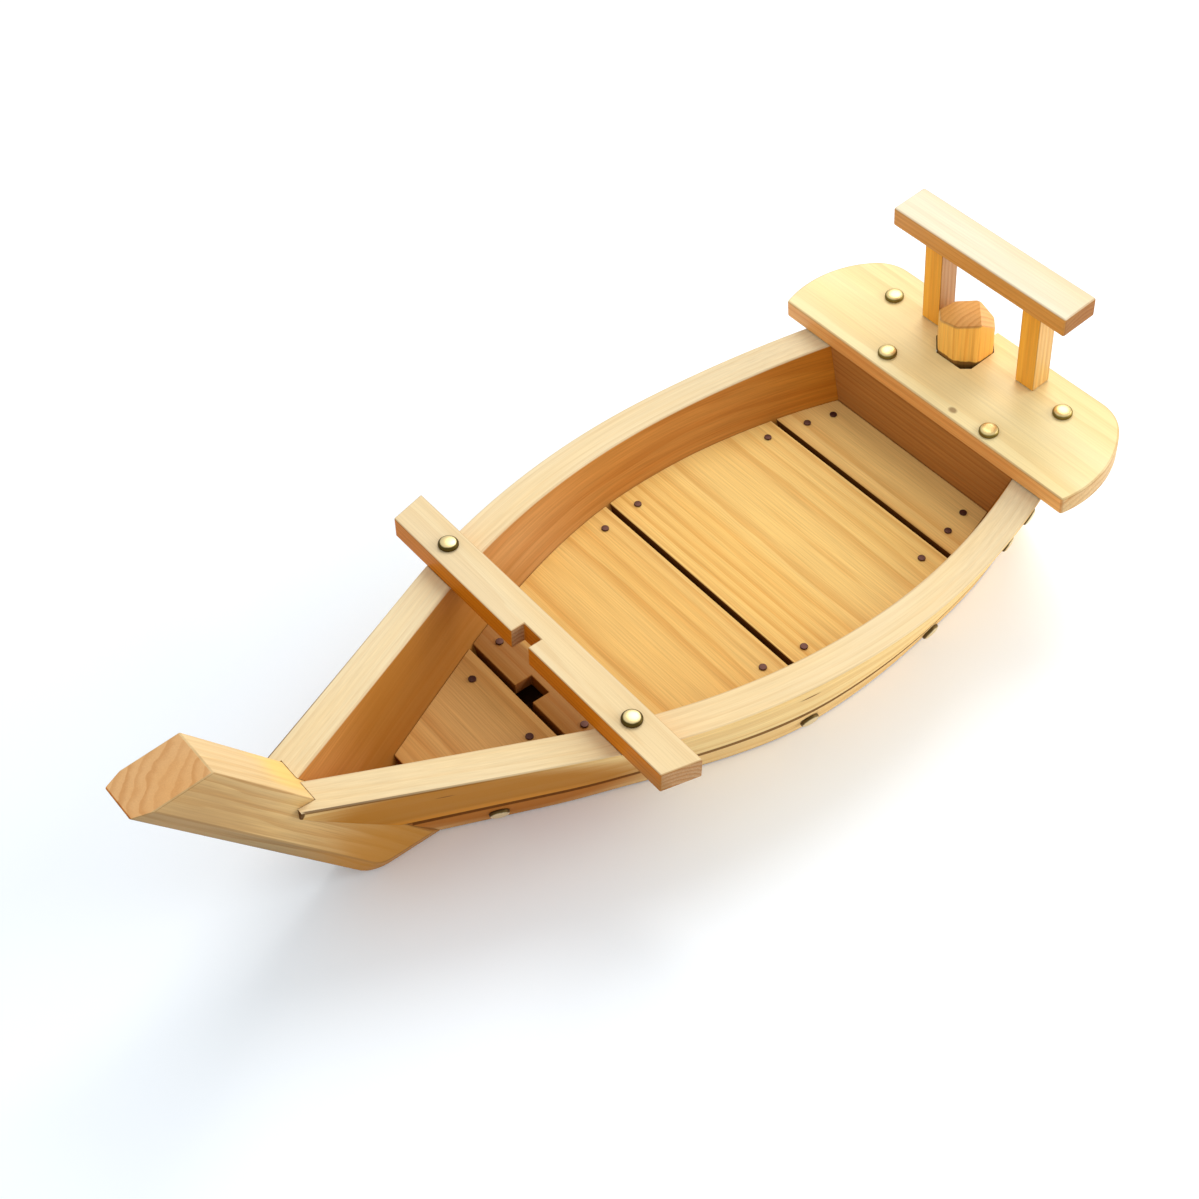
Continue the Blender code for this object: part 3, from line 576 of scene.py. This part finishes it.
def makeStem():
    # the side view carried across: full between the chamfers, and eased back at both outer faces
    half = stem["width"] / 2
    flat = half - stem["chamferWidth"]
    rows = []
    for y, ease in ((-half, stem["chamferDepth"]), (-flat, 0.0), (flat, 0.0), (half, stem["chamferDepth"])):
        side = stemOutline(ease)
        rows.append(np.stack((side[:, 0], np.full(len(side), y), side[:, 1]), -1))
    pith = np.array((stem["footX"], stem["pithY"], 0)) + stemBack * stem["pithDepth"]
    finish = pine("stemPine", top=tone(243, 208, 152), side=tone(214, 178, 123), end=tone(217, 131, 56),
                  late=(0.70, 0.52, 0.34, 1), ringStep=0.0054, ringWave=0.0056, topDepth=0.20,
                  # under: painted shade on the faces that look down, such as the lower chamfer
                  sideDepth=0.60, endDepth=0.85, under=(0.47, -0.32, -0.08), coat=0.08, specular=0.05,
                  worn=0.45, wornTone=tone(120, 84, 46), along=tuple(stemUp), stains=stem["stains"])
    finishPiece("stemTimber", np.stack(rows), "bow_stem", finish,
                grain=straightGrain(pith, stemUp, stemBack), edge=stem["edge"])


# side boards

strake = dict(
    topRound=0.0016, innerRound=0.0010, upperSeam=0.0032, lowerSeam=0.0036, hiddenRound=0.0004,
    opening=1.8, openingSpan=(-0.200, -0.130),  # how much the groove widens at the bow, and where
    edgeShadeSpan=(-0.200, -0.080), edgeShadeLeast=0.15,  # where the painted shadow line along the gunwale's outer edge fades, and to what
    upperPith=(0.060, 0.075), upperShift=0.01, lowerPith=(-0.050, 0.020),
    under=(0.9, -0.55, -0.15), stations=260, roundSteps=11, grainRun=(-0.3, 0.3, 2000), clear=0.4,
)
# painted shade over both side boards towards the bow, darker and more orange
strake["dark"] = [dict(place=(-0.150, sign * 0.045, 0.045), reach=(0.190, 0.060, 0.075), share=0.92,
                       core=0.55, ragged=0.1, sides=True) for side, sign in sides]
# painted shadow on the side boards' bow ends, where they lap the stem
strake["tips"] = [dict(place=(-0.2165, sign * 0.0175, 0.088), reach=(0.0020, 0.0080, 0.0220), share=0.90,
                       core=0.6, ragged=0.0, tone=tone(70, 38, 14), sides=True) for side, sign in sides]
strake["marks"] = [  # a warm band above the port groove, a knot and a scratch
    dict(place=(-0.130, -0.034, 0.0345), reach=(0.110, 0.060, 0.010), share=0.60, core=0.3, ragged=0.1,
         tone=tone(206, 134, 48), sides=True),
    dict(place=(-0.1491, -0.0415, 0.0744), reach=(0.0080, 0.0050, 0.0012), share=0.80, tone=tone(96, 56, 22)),
    dict(place=(0.0410, -0.1068, 0.0680), reach=(0.0080, 0.0040, 0.0021), share=0.85, tone=tone(104, 62, 24)),
]


def roundedSection(radii):
    # section of a board as (depth in from the outer face, 0 at its low edge or 1 at its top, height
    # off that edge, 1 at the outer top corner), with a quarter circle at each corner
    wide = hull["strake"]
    quarter = np.linspace(0, math.pi / 2, strake["roundSteps"] + 1)
    topIn, topOut, lowOut, lowIn = radii
    parts = []
    for radius, atOuter, atTop in ((topIn, 0, 1), (topOut, 1, 1), (lowOut, 1, 0), (lowIn, 0, 0)):
        turn = quarter if atOuter == atTop else quarter[::-1]
        reach = radius * (1 - np.sin(turn))
        drop = radius * (1 - np.cos(turn))
        depth = reach if atOuter else wide - reach
        level = np.full(len(turn), float(atTop))
        parts.append(np.stack((depth, level, -drop if atTop else drop, level * atOuter), -1))
    return np.concatenate(parts)


def strakeGrid(section, sign, low, high, opening=1.0):
    # the section carried along the hull, leaning and bending with its side, its outer top corner rounded
    # more towards the bow
    x = np.linspace(hull["bowX"], hull["sternX"], strake["stations"])[:, None]
    depth, atTop, off, corner = section.T
    grow = 1 + corner * (opening - 1) * (1 - smooth(x, strake["openingSpan"]))
    depth, off = depth * grow, off * grow
    z = low(x) + (high(x) - low(x)) * atTop + off
    y = sideAt(x, z, depth)
    return np.stack(np.broadcast_arrays(x, sign * y, z), -1)


def hullGrain(pithDepth, pithZ):
    # grain coordinates of a bent board: length along the side, depth in from it and height, from the pith
    x = np.linspace(*strake["grainRun"])
    length = np.concatenate(((0,), np.cumsum(np.hypot(np.diff(x), np.diff(breadthAt(x, 0.0))))))

    def coordinates(points):
        px, py, pz = points.T
        inward = sideAt(px, pz) - np.abs(py)
        return np.stack((np.interp(px, x, length), inward - pithDepth, pz - pithZ), -1)
    return coordinates


def hullDepth(points):
    # 0 on the outer face of a side board and 1 on its inner one
    return (sideAt(points[:, 0], points[:, 2]) - np.abs(points[:, 1])) / hull["strake"]


def strakeEdgeShade(points):
    # painted edge shade: full in the seam groove, fading aft as a shadow line along the gunwale's outer edge,
    # and slight along its inner one
    fade = 1 - (1 - strake["edgeShadeLeast"]) * smooth(points[:, 0], strake["edgeShadeSpan"])
    fade = np.where(hullDepth(points) > 0.5, strake["edgeShadeLeast"], fade)
    return np.where(points[:, 2] < hull["seamZ"] + 2 * strake["lowerSeam"], 1.0, fade)


def paintedBowShade(shade):
    # the painted bow shade of each side, in the given tone
    return [{**mark, "tone": shade} for mark in strake["dark"]]


def makeStrakes():
    # each board's section carried along its side, less room for the stem, the other side and the beam
    gap, far = hull["gap"], strake["clear"]
    rearX = stem["footX"] + (stem["depth"] + gap) / math.sin(stem["rake"])
    lean = far / math.tan(stem["rake"])
    half = stem["width"] / 2 + gap
    wedge = np.array(((rearX + lean, -far), (rearX - lean, far), (-2 * far, far), (-2 * far, -far)))
    stemRoom = np.stack([np.stack((wedge[:, 0], np.full(4, y), wedge[:, 1]), -1) for y in (-half, half)])
    beamRoom = block((beam["x"] - gap, -far, beamSeat()),
                     (beam["x"] + beam["width"] + gap, far, beamSeat() + beam["room"]))
    inner, hidden = strake["innerRound"], strake["hiddenRound"]
    upperSection = roundedSection((inner, strake["topRound"], strake["upperSeam"], hidden))
    lowerSection = roundedSection((hidden, strake["lowerSeam"], inner, hidden))
    upperDepth, upperZ = strake["upperPith"]
    for side, sign in sides:
        title = side.title()
        beyond = sorted((sign * gap / 2, -sign * far))
        past = block((-far, beyond[0], -far), (far, beyond[1], far))
        upper = strakeGrid(upperSection, sign, lambda x: 0 * x + hull["seamZ"] + gap / 2, sheerAt)
        lower = strakeGrid(lowerSection, sign, lambda x: 0 * x, lambda x: 0 * x + hull["seamZ"] - gap / 2,
                           strake["opening"])
        # edge tone: painted shadow line along the gunwale's outer edge and painted shade in the seam groove;
        # inside: painted shade on the inner face
        finish = pine("gunwalePine" + title, side=tone(255, 220, 154), inside=tone(206, 130, 36),
                      end=tone(232, 182, 118), ringStep=0.0042, sideDepth=0.40, topDepth=0.16,
                      wornTone=tone(92, 52, 18), worn=0.80, wornLeast=0.70, under=strake["under"],
                      coat=0.08, specular=0.0,
                      stains=paintedBowShade(tone(166, 104, 26)) + strake["marks"] + strake["tips"])
        finishPiece("upperStrake" + title, upper, "upper_strake_" + side, finish,
                    grain=hullGrain(upperDepth, upperZ + strake["upperShift"] * sign), inner=hullDepth,
                    edgeScale=strakeEdgeShade, cuts=(stemRoom, past, beamRoom))
        # edge tone: painted shade in the seam groove
        finish = pine("bilgePine" + title, side=tone(255, 216, 150), ringStep=0.0036, under=strake["under"],
                      coat=0.05, specular=0.0, worn=0.92, wornLeast=0.90, wornTone=tone(92, 50, 13),
                      stains=paintedBowShade(tone(164, 94, 28)))
        finishPiece("lowerStrake" + title, lower, "lower_strake_" + side, finish,
                    grain=hullGrain(*strake["lowerPith"]), inner=hullDepth, cuts=(stemRoom, past))


# mast beam

beam = dict(x=-0.0694, width=0.0225, thickness=0.0138, frontOver=0.0289, rearOver=0.0263,
            notchWidth=0.0142, notchDepth=0.0086, edge=0.0008, room=0.03, pith=(0.006, -0.030))


def beamSeat():
    # the lower of the gunwale's heights at the beam's two edges
    return min(float(sheerAt(beam["x"])), float(sheerAt(beam["x"] + beam["width"])))


def beamTop():
    return beamSeat() + hull["gap"] + beam["thickness"]


def makeBeam():
    # a notched outline, wider aft with the hull, carried up by its thickness
    front, rear = beam["x"], beam["x"] + beam["width"]
    frontHalf = float(breadthAt(front, 0.0)) + beam["frontOver"]
    rearHalf = float(breadthAt(rear, 0.0)) + beam["rearOver"]
    notch, deep = beam["notchWidth"] / 2, front + beam["notchDepth"]
    outline = ((front, -frontHalf), (front, -notch), (deep, -notch), (deep, notch), (front, notch),
               (front, frontHalf), (rear, rearHalf), (rear, -rearHalf))
    low = beamTop() - beam["thickness"]
    dull = dict(place=(front, -frontHalf, low), reach=(0.008, 0.034, 0.016), share=0.65, core=0.2,
                tone=tone(150, 102, 48), sides=True)
    # front: painted shade on the beam's face towards the bow
    finish = pine("beamPine", front=tone(212, 126, 22), side=tone(222, 166, 92), end=tone(190, 149, 108),
                  ringStep=0.0030, coat=0.08, specular=0.06, along=crosswise, stains=(dull,))
    pith = (front + beam["pith"][0], 0, beamTop() + beam["pith"][1])
    finishPiece("mastBeam", slab(outline, low, beamTop()), "mast_beam", finish,
                grain=straightGrain(pith, crosswise, (1, 0, 0)), edge=beam["edge"])


# bottom of the hold

hold = dict(floorTop=0.0538, thickness=0.008, bowWidth=0.0126, gapsX=(-0.0701, 0.0574, 0.1829), gap=0.0035,
            rearX=0.2265, stepBoard=2, stepWidth=0.0152, stepDepth=0.0112, stations=40, edge=0.0006,
            pith=(0.01, 0.3, -0.05),
            # top tone of each board; the first, by the bow, painted darker as shade
            tones=(tone(215, 160, 92), tone(242, 194, 114), tone(248, 202, 120), tone(247, 200, 122)))
hold["stain"] = dict(place=(-0.0585, 0.0, 0.0538), reach=(0.0165, 0.4, 0.4), share=0.74, core=0.55,
                     ragged=0.5, tone=tone(132, 66, 8))  # painted shade: the strip of floor under the beam, darkened as in its shadow


def floorSpans():
    # front and rear edge of each floor board, parted by the gaps
    under = hold["floorTop"] - hold["thickness"]
    fronts = [bowEnd(hold["bowWidth"] / 2, under)] + [x + hold["gap"] / 2 for x in hold["gapsX"]]
    rears = [x - hold["gap"] / 2 for x in hold["gapsX"]] + [hold["rearX"] - hull["gap"]]
    return list(zip(fronts, rears))


def makeFloor():
    # each board: a four-sided section, as wide as the hull inside at its top and underside
    low, high = hold["floorTop"] - hold["thickness"], hold["floorTop"]
    half, over = hold["stepWidth"] / 2, making["overcut"]
    aft, aside, below = hold["pith"]
    for number, (front, rear) in enumerate(floorSpans(), 1):
        x = np.linspace(front, rear, hold["stations"])
        narrow, wide = insideAt(x, low), insideAt(x, high)
        y = np.stack((-narrow, narrow, wide, -wide), -1)
        z = np.broadcast_to((low, low, high, high), y.shape)
        grid = np.stack((np.broadcast_to(x[:, None], y.shape), y, z), -1)
        step = block((front - over, -half, low - over), (front + hold["stepDepth"], half, high + over))
        stepped = number == hold["stepBoard"]
        finish = pine("floorPine%d" % number, top=hold["tones"][number - 1], side=tone(120, 70, 26),
                      ringStep=0.0052, topDepth=0.5, topFibre=0.6, coat=0.04, specular=0.04, along=crosswise,
                      stains=(hold["stain"],) if stepped else ())
        pith = ((front + rear) / 2 + aft, aside * number, high + below)
        finishPiece("floorBoard%d" % number, grid, "floor_board_%d" % number, finish,
                    grain=straightGrain(pith, crosswise, (1, 0, 0)), edge=hold["edge"],
                    cuts=(step,) if stepped else ())


# stern deck, handle and rudder post

handle = dict(postSide=0.0136, spacing=0.0752, setback=0.0552, postHeight=0.0622,
              railLength=0.1306, railWidth=0.0248, railThickness=0.0129, edge=0.0007, railEdge=0.0012,
              postPith=(0.03, -0.01), railPith=(0.004, -0.022),
              # upright faces of each post: the starboard post painted darker, as the shaded one
              postTones=dict(port=tone(232, 184, 108), starboard=tone(192, 146, 96)))
rudder = dict(flats=0.0324, setback=0.0493, y=0.0097, head=0.0252, slant=math.radians(16.7),
              heading=math.radians(55), pareHead=0.0328, pareSlant=math.radians(45),
              pareHeading=math.radians(-28), tenon=0.0120, tenonLength=0.0070, drop=0.0340, play=0.0006,
              cornerPlay=0.0042, edge=0.0016, turn=64, pith=(0.006, -0.070),
              notchShade=0.006, bandDrop=0.0075)  # middles of the painted shade on the notch's walls and of the painted shade band on the post where it sits in the notch


def deckOutline():
    # side arc, corner arc and straight rear edge
    sideCentre = np.array((deck["widest"], deck["width"] / 2 - deck["sideRadius"]))
    spread = deck["sideRadius"] - deck["cornerRadius"]
    meet = math.acos((deck["length"] - deck["cornerRadius"] - deck["widest"]) / spread)
    corner = sideCentre + np.array((math.cos(meet), math.sin(meet))) * spread
    start = math.acos(-deck["widest"] / deck["sideRadius"])
    half = np.concatenate((arc(sideCentre, deck["sideRadius"], start, meet)[:-1],
                           arc(corner, deck["cornerRadius"], meet, 0.0)))
    return np.concatenate((half, half[::-1] * (1, -1)))


def slotOutline():
    # an eight-sided notch that follows the post, with a mouth in the rear edge and room at its port
    # front facet
    reach = rudder["flats"] / 2 + rudder["play"]
    near = math.sqrt(2) * (rudder["flats"] / 2 + rudder["cornerPlay"]) - reach
    far = reach * math.tan(math.pi / 8)
    rear = deck["length"] - rudder["setback"] + making["overcut"]
    ring = ((rear, -far), (reach, -far), (far, -reach), (-near, -reach), (-reach, -near),
            (-reach, far), (-far, reach), (far, reach), (reach, far), (rear, far))
    return np.array(ring) + (rudder["setback"], rudder["y"])


def makeDeck():
    # the outline carried up by its thickness, less the notch, with a small dent and dark notch walls
    grid = onDeck(slab(deckOutline(), 0.0, deck["thickness"]))
    slot = onDeck(slab(slotOutline(), -making["overcut"], deck["thickness"] + making["overcut"]))
    notch = onDeck((rudder["setback"] - rudder["notchShade"], rudder["y"], deck["thickness"] / 2)).tolist()
    dent = dict(place=(0.2295, -0.0224, 0.1036), reach=(0.0024, 0.0036, 0.0024), share=0.7,
                tone=tone(128, 84, 36))
    shadow = dict(place=notch, reach=(0.024, 0.024, 0.024), share=0.92, core=0.76, ragged=0.0,
                  tone=tone(58, 32, 12), sides=True)
    # front: painted shade on the deck's edge towards the bow
    finish = pine("deckPine", top=tone(255, 231, 172), side=tone(226, 190, 130), front=tone(240, 176, 102),
                  end=tone(214, 178, 124), shade=0.92, along=crosswise, ringStep=0.0046,
                  stains=(dent, shadow))
    finishPiece("sternDeck", grid, "stern_deck", finish,
                grain=straightGrain(onDeck(deck["pith"]), crosswise, deckAft), edge=deck["edge"],
                slots=(slot,))


def makeHandle():
    # square bars in the deck's axes: a post each side, and the rail on top of both
    foot = deck["thickness"] + hull["gap"]
    top = foot + handle["postHeight"]
    half, back = handle["postSide"] / 2, handle["setback"]
    aft, aside = handle["postPith"]
    for side, sign in sides:
        y = sign * handle["spacing"] / 2
        grid = onDeck(block((back - half, y - half, foot), (back + half, y + half, top)))
        # front: painted shade on the posts' faces towards the bow
        finish = pine("postPine" + side.title(), side=handle["postTones"][side], front=tone(252, 180, 62),
                      shade=0.92, along=deckUp, ringStep=0.0034)
        pith = onDeck((back + aft, y + aside, 0))
        finishPiece("handlePost" + side.title(), grid, "handle_post_" + side, finish,
                    grain=straightGrain(pith, deckUp, crosswise), edge=handle["edge"])
    low = top + hull["gap"]
    long, wide = handle["railLength"] / 2, handle["railWidth"] / 2
    grid = onDeck(block((back - wide, -long, low), (back + wide, long, low + handle["railThickness"])))
    finish = pine("railPine", top=tone(247, 230, 196), side=tone(226, 157, 74), end=tone(166, 108, 34),
                  along=crosswise, ringStep=0.0030)
    aft, below = handle["railPith"]
    pith = onDeck((back + aft, 0, low + below))
    finishPiece("handleRail", grid, "handle_rail", finish,
                grain=straightGrain(pith, crosswise, deckAft), edge=handle["railEdge"])


def makeRudder():
    # an eight-sided post on a round tenon: rings of a radius that depends on the angle, the top one slanted,
    # with one corner pared off by a steeper slope
    angle = np.linspace(0, 2 * math.pi, rudder["turn"], endpoint=False)
    bend = (angle + math.pi / 8) % (math.pi / 4) - math.pi / 8
    eight = rudder["flats"] / 2 / np.cos(bend)
    foot = hull["gap"] - rudder["drop"]
    head = deck["thickness"] + rudder["head"]

    def ringAt(radius, height):
        x = rudder["setback"] + radius * np.cos(angle)
        y = rudder["y"] + radius * np.sin(angle)
        return onDeck(np.stack((x, y, height + 0 * angle), -1))

    fall = eight * np.cos(angle - rudder["heading"]) * math.tan(rudder["slant"])
    post = np.stack((ringAt(eight, foot), ringAt(eight, head - fall)))
    ends = (foot - rudder["tenonLength"], foot + rudder["tenonLength"])
    tenon = np.stack([ringAt(rudder["tenon"] / 2, height) for height in ends])
    wide = 2 * rudder["flats"]
    fall = wide * np.cos(angle - rudder["pareHeading"]) * math.tan(rudder["pareSlant"])
    level = deck["thickness"] + rudder["pareHead"] - fall
    pare = np.stack((ringAt(wide, level), ringAt(wide, level + 4 * wide)))
    band = onDeck((rudder["setback"], rudder["y"], deck["thickness"] - rudder["bandDrop"])).tolist()
    # painted shade: a dark band on the post where it sits in the deck's notch
    hidden = dict(place=band, reach=(0.200, 0.200, 0.0082), share=0.80, core=0.88, ragged=0.25,
                  tone=tone(88, 42, 14))
    finish = pine("rudderPine", side=tone(255, 196, 94), top=tone(226, 170, 90), end=tone(225, 164, 84),
                  shade=1.0, along=deckUp, ringStep=0.0036, topDepth=0.6, sideDepth=0.45, endDepth=0.6,
                  stains=(hidden,))
    pith = onDeck((rudder["setback"] + rudder["pith"][0], rudder["y"] + rudder["pith"][1], 0))
    finishPiece("rudderPost", post, "rudder_post", finish,
                grain=straightGrain(pith, deckUp, crosswise), edge=rudder["edge"], slots=(pare,),
                pegs=(tenon,), body="rudder")


# nails

nail = dict(head=0.0115, height=0.0030, crown=0.78, rim=0.0006, lip=0.0002, steps=19, shank=0.0022,
            length=0.0240, turn=48,
            strakeZ=0.0155, strakeBowWidth=0.0610, strakeSpacing=(0.0860, 0.0860, 0.0990, 0.0870),
            transomZ=0.0550, transomMid=0.2345, deckInsets=(0.0233, 0.0351), deckShifts=(-0.0012, 0.0021),
            deckRear=0.0482)
pin = dict(head=0.0045, height=0.0008, ease=0.0003, bevel=0.0001, shank=0.0018, length=0.0150, turn=24,
           edge=0.0120, end=0.0095)
brassBase = dict(cloud=((420, 420, 420), 3.0), clouding=0.10, roughness=0.34, rimGloss=0.14, cloudGloss=0.08,
                 bump=0.10, bumpDepth=0.0002)
steelBase = dict(cloud=((900, 900, 900), 3.0), metal=0.8, roughness=0.35, cloudGloss=0.2)


def brass(name, face, rimTone, ring):
    # brushed brass, tarnished round the rim, with fine rubbing marks
    look = brassBase
    made, shader = newFinish(name)
    tree = made.node_tree
    place = put(tree, "ShaderNodeTexCoord").outputs["Object"]
    rim = stored(tree, "rim")
    cloud = noise(tree, place, *look["cloud"])
    tarnish = rise(tree, work(tree, "MULTIPLY_ADD", cloud, look["clouding"], rim), *ring)
    tree.links.new(mixTone(tree, tarnish, face, rimTone), shader.inputs["Base Color"])
    shader.inputs["Metallic"].default_value = 1.0
    gloss = work(tree, "MULTIPLY_ADD", tarnish, look["rimGloss"], look["roughness"])
    tree.links.new(work(tree, "MULTIPLY_ADD", cloud, look["cloudGloss"], gloss), shader.inputs["Roughness"])
    setBump(tree, shader, look, cloud)
    return made


def steel():
    # dark oiled steel with mottled oxide
    look = steelBase
    made, shader = newFinish("pinSteel")
    tree = made.node_tree
    place = put(tree, "ShaderNodeTexCoord").outputs["Object"]
    cloud = noise(tree, place, *look["cloud"])
    tree.links.new(mixTone(tree, cloud, tone(58, 30, 24), tone(100, 66, 54)), shader.inputs["Base Color"])
    shader.inputs["Metallic"].default_value = look["metal"]
    gloss = work(tree, "MULTIPLY_ADD", cloud, look["cloudGloss"], look["roughness"])
    tree.links.new(gloss, shader.inputs["Roughness"])
    return made


def turnedGrid(profile, spot, normal, turn):
    # a half section of radius and height turned round the nail's own axis
    sideways = np.cross(normal, (0.0, 0.0, 1.0) if abs(normal[2]) < 0.9 else (1.0, 0.0, 0.0))
    sideways /= np.linalg.norm(sideways)
    other = np.cross(normal, sideways)
    angle = np.linspace(0, 2 * math.pi, turn, endpoint=False)
    spokes = np.cos(angle)[:, None] * sideways + np.sin(angle)[:, None] * other
    radius, height = profile.T
    return spot + radius[:, None, None] * spokes + height[:, None, None] * normal


def domeProfile():
    # a low dome with a flattened crown that rolls over into an upright rim, then the flat under the head
    # and the shank
    half, high, rim, lip = nail["head"] / 2, nail["height"], nail["rim"], nail["lip"]
    sweep = np.linspace(0, math.pi / 2, nail["steps"])
    dome = np.stack((half * np.sin(sweep) ** nail["crown"],
                     rim + (high - rim) * np.cos(sweep) ** nail["crown"]), -1)
    shank, tip = nail["shank"] / 2, -nail["length"]
    rest = ((half, lip), (half - lip, 0.0), (shank, 0.0), (shank, tip), (0.0, tip))
    return np.concatenate((dome, rest))


def pinProfile():
    # a flat head with an eased edge, and the shank
    half, high, ease, bevel = pin["head"] / 2, pin["height"], pin["ease"], pin["bevel"]
    shank, tip = pin["shank"] / 2, -pin["length"]
    return np.array(((0, high), (half - ease, high), (half - bevel, high - bevel), (half, high - ease),
                     (half, 0), (shank, 0), (shank, tip), (0, tip)))


def driveNail(node, finish, profile, spot, normal, turn):
    # a turned nail on its spot, with each point's share of the head's radius written on it
    first, *rest = node.split("_")
    name = first + "".join(word.title() for word in rest)
    normal = np.array(normal, float)
    spot = np.array(spot, float) + normal * hull["gap"]
    rows = turnedGrid(profile, spot, normal, turn)
    piece = finishPiece(name, rows, node, finish, capped=False)
    away = pointsOf(piece.data) - spot
    height = away @ normal
    flat = np.linalg.norm(away - height[:, None] * normal, axis=1)
    writeValues(piece.data, "rim", flat / profile[:, 0].max())


def brassSpots():
    # node, place and direction of every domed nail: beam, deck, then each side from the bow aft
    middle = beam["x"] + beam["width"] / 2
    y = float(breadthAt(middle, hull["strake"] / 2))
    spots = [("beam_nail_" + side, (middle, sign * y, beamTop()), (0, 0, 1)) for side, sign in sides]

    mid, back, top = nail["transomMid"], nail["deckRear"], deck["thickness"]
    front = (mid - deck["x"]) / math.cos(deckTilt)
    rearY = float(breadthAt(deck["x"] + back * math.cos(deckTilt), hull["strake"] / 2))
    end = float(insideAt(mid, sheerAt(mid)))
    for (side, sign), inset, shift in zip(sides, nail["deckInsets"], nail["deckShifts"]):
        spots.append(("deck_nail_front_" + side, onDeck((front + shift, sign * (end - inset), top)), deckUp))
        spots.append(("deck_nail_rear_" + side, onDeck((back, sign * rearY, top)), deckUp))

    first = bowEnd(nail["strakeBowWidth"] / 2, nail["strakeZ"], sideAt)
    row = first + np.concatenate(((0,), np.cumsum(nail["strakeSpacing"])))
    last = mid + sideNormal(mid, nail["transomZ"])[0] * hull["strake"]
    for side, sign in sides:
        places = [("strake_nail_%s_%d" % (side, i), x, nail["strakeZ"]) for i, x in enumerate(row, 1)]
        places.append(("transom_nail_" + side, last, nail["transomZ"]))
        for node, x, z in places:
            spots.append((node, (x, sign * float(sideAt(x, z)), z), sideNormal(x, z) * (1, sign, 1)))
    return spots


def driveNails():
    # domed brass nails outside, and flat steel ones along the floor boards' edges
    bright = brass("nailBrass", tone(234, 208, 150), tone(84, 68, 28), (0.76, 0.90))
    rubbed = brass("rubbedBrass", tone(234, 206, 142), tone(122, 104, 48), (0.84, 0.98))
    aged = brass("agedBrass", tone(232, 214, 172), tone(96, 76, 42), (0.90, 1.02))
    finishes = dict(beam=bright, deck=rubbed, strake=aged, transom=aged)
    for node, spot, normal in brassSpots():
        driveNail(node, finishes[node.split("_")[0]], domeProfile(), spot, normal, nail["turn"])

    finish = steel()
    spans = floorSpans()
    rows = [rear - pin["edge"] for front, rear in spans] + [front + pin["edge"] for front, rear in spans[1:]]
    for number, x in enumerate(sorted(rows), 1):
        y = float(insideAt(x, hold["floorTop"] - hold["thickness"])) - pin["end"]
        for side, sign in sides:
            driveNail("floor_nail_%s_%d" % (side, number), finish, pinProfile(),
                      (x, sign * y, hold["floorTop"]), (0, 0, 1), pin["turn"])


makeStem()
makeStrakes()
print("stem and side boards made")
makeBeam()
makeFloor()
print("beam and floor made")
makeDeck()
makeHandle()
makeRudder()
print("stern made")
driveNails()
print("nails driven")


# frame pieces that keep their shape

def dressFrame():
    # plain dull pine by the way each piece's grain runs
    plain = dict(attribute=False, top=tone(206, 150, 84), side=tone(186, 124, 58), coat=0.1, roughness=0.51)
    ledges = pine("ledgePine", **plain)
    looks = {"floor_ledge_port": ledges, "floor_ledge_starboard": ledges}
    looks["bottom_board"] = pine("bottomPine", **{**plain, "top": tone(104, 62, 28)})
    stern = pine("transomPine", along=crosswise, pith=(0.21, 0.0, 0.13), **plain)
    looks.update({"transom": stern, "rudder_step": stern})
    dowels = pine("dowelPine", along=(0, 0, 1), **plain)
    for end in ("foot", "head"):
        for side, sign in sides:
            looks["%s_dowel_%s" % (end, side)] = dowels
    for node, finish in looks.items():
        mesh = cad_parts[node].data
        mesh.materials.clear()
        mesh.materials.append(finish)


dressFrame()
print("frame pieces dressed")
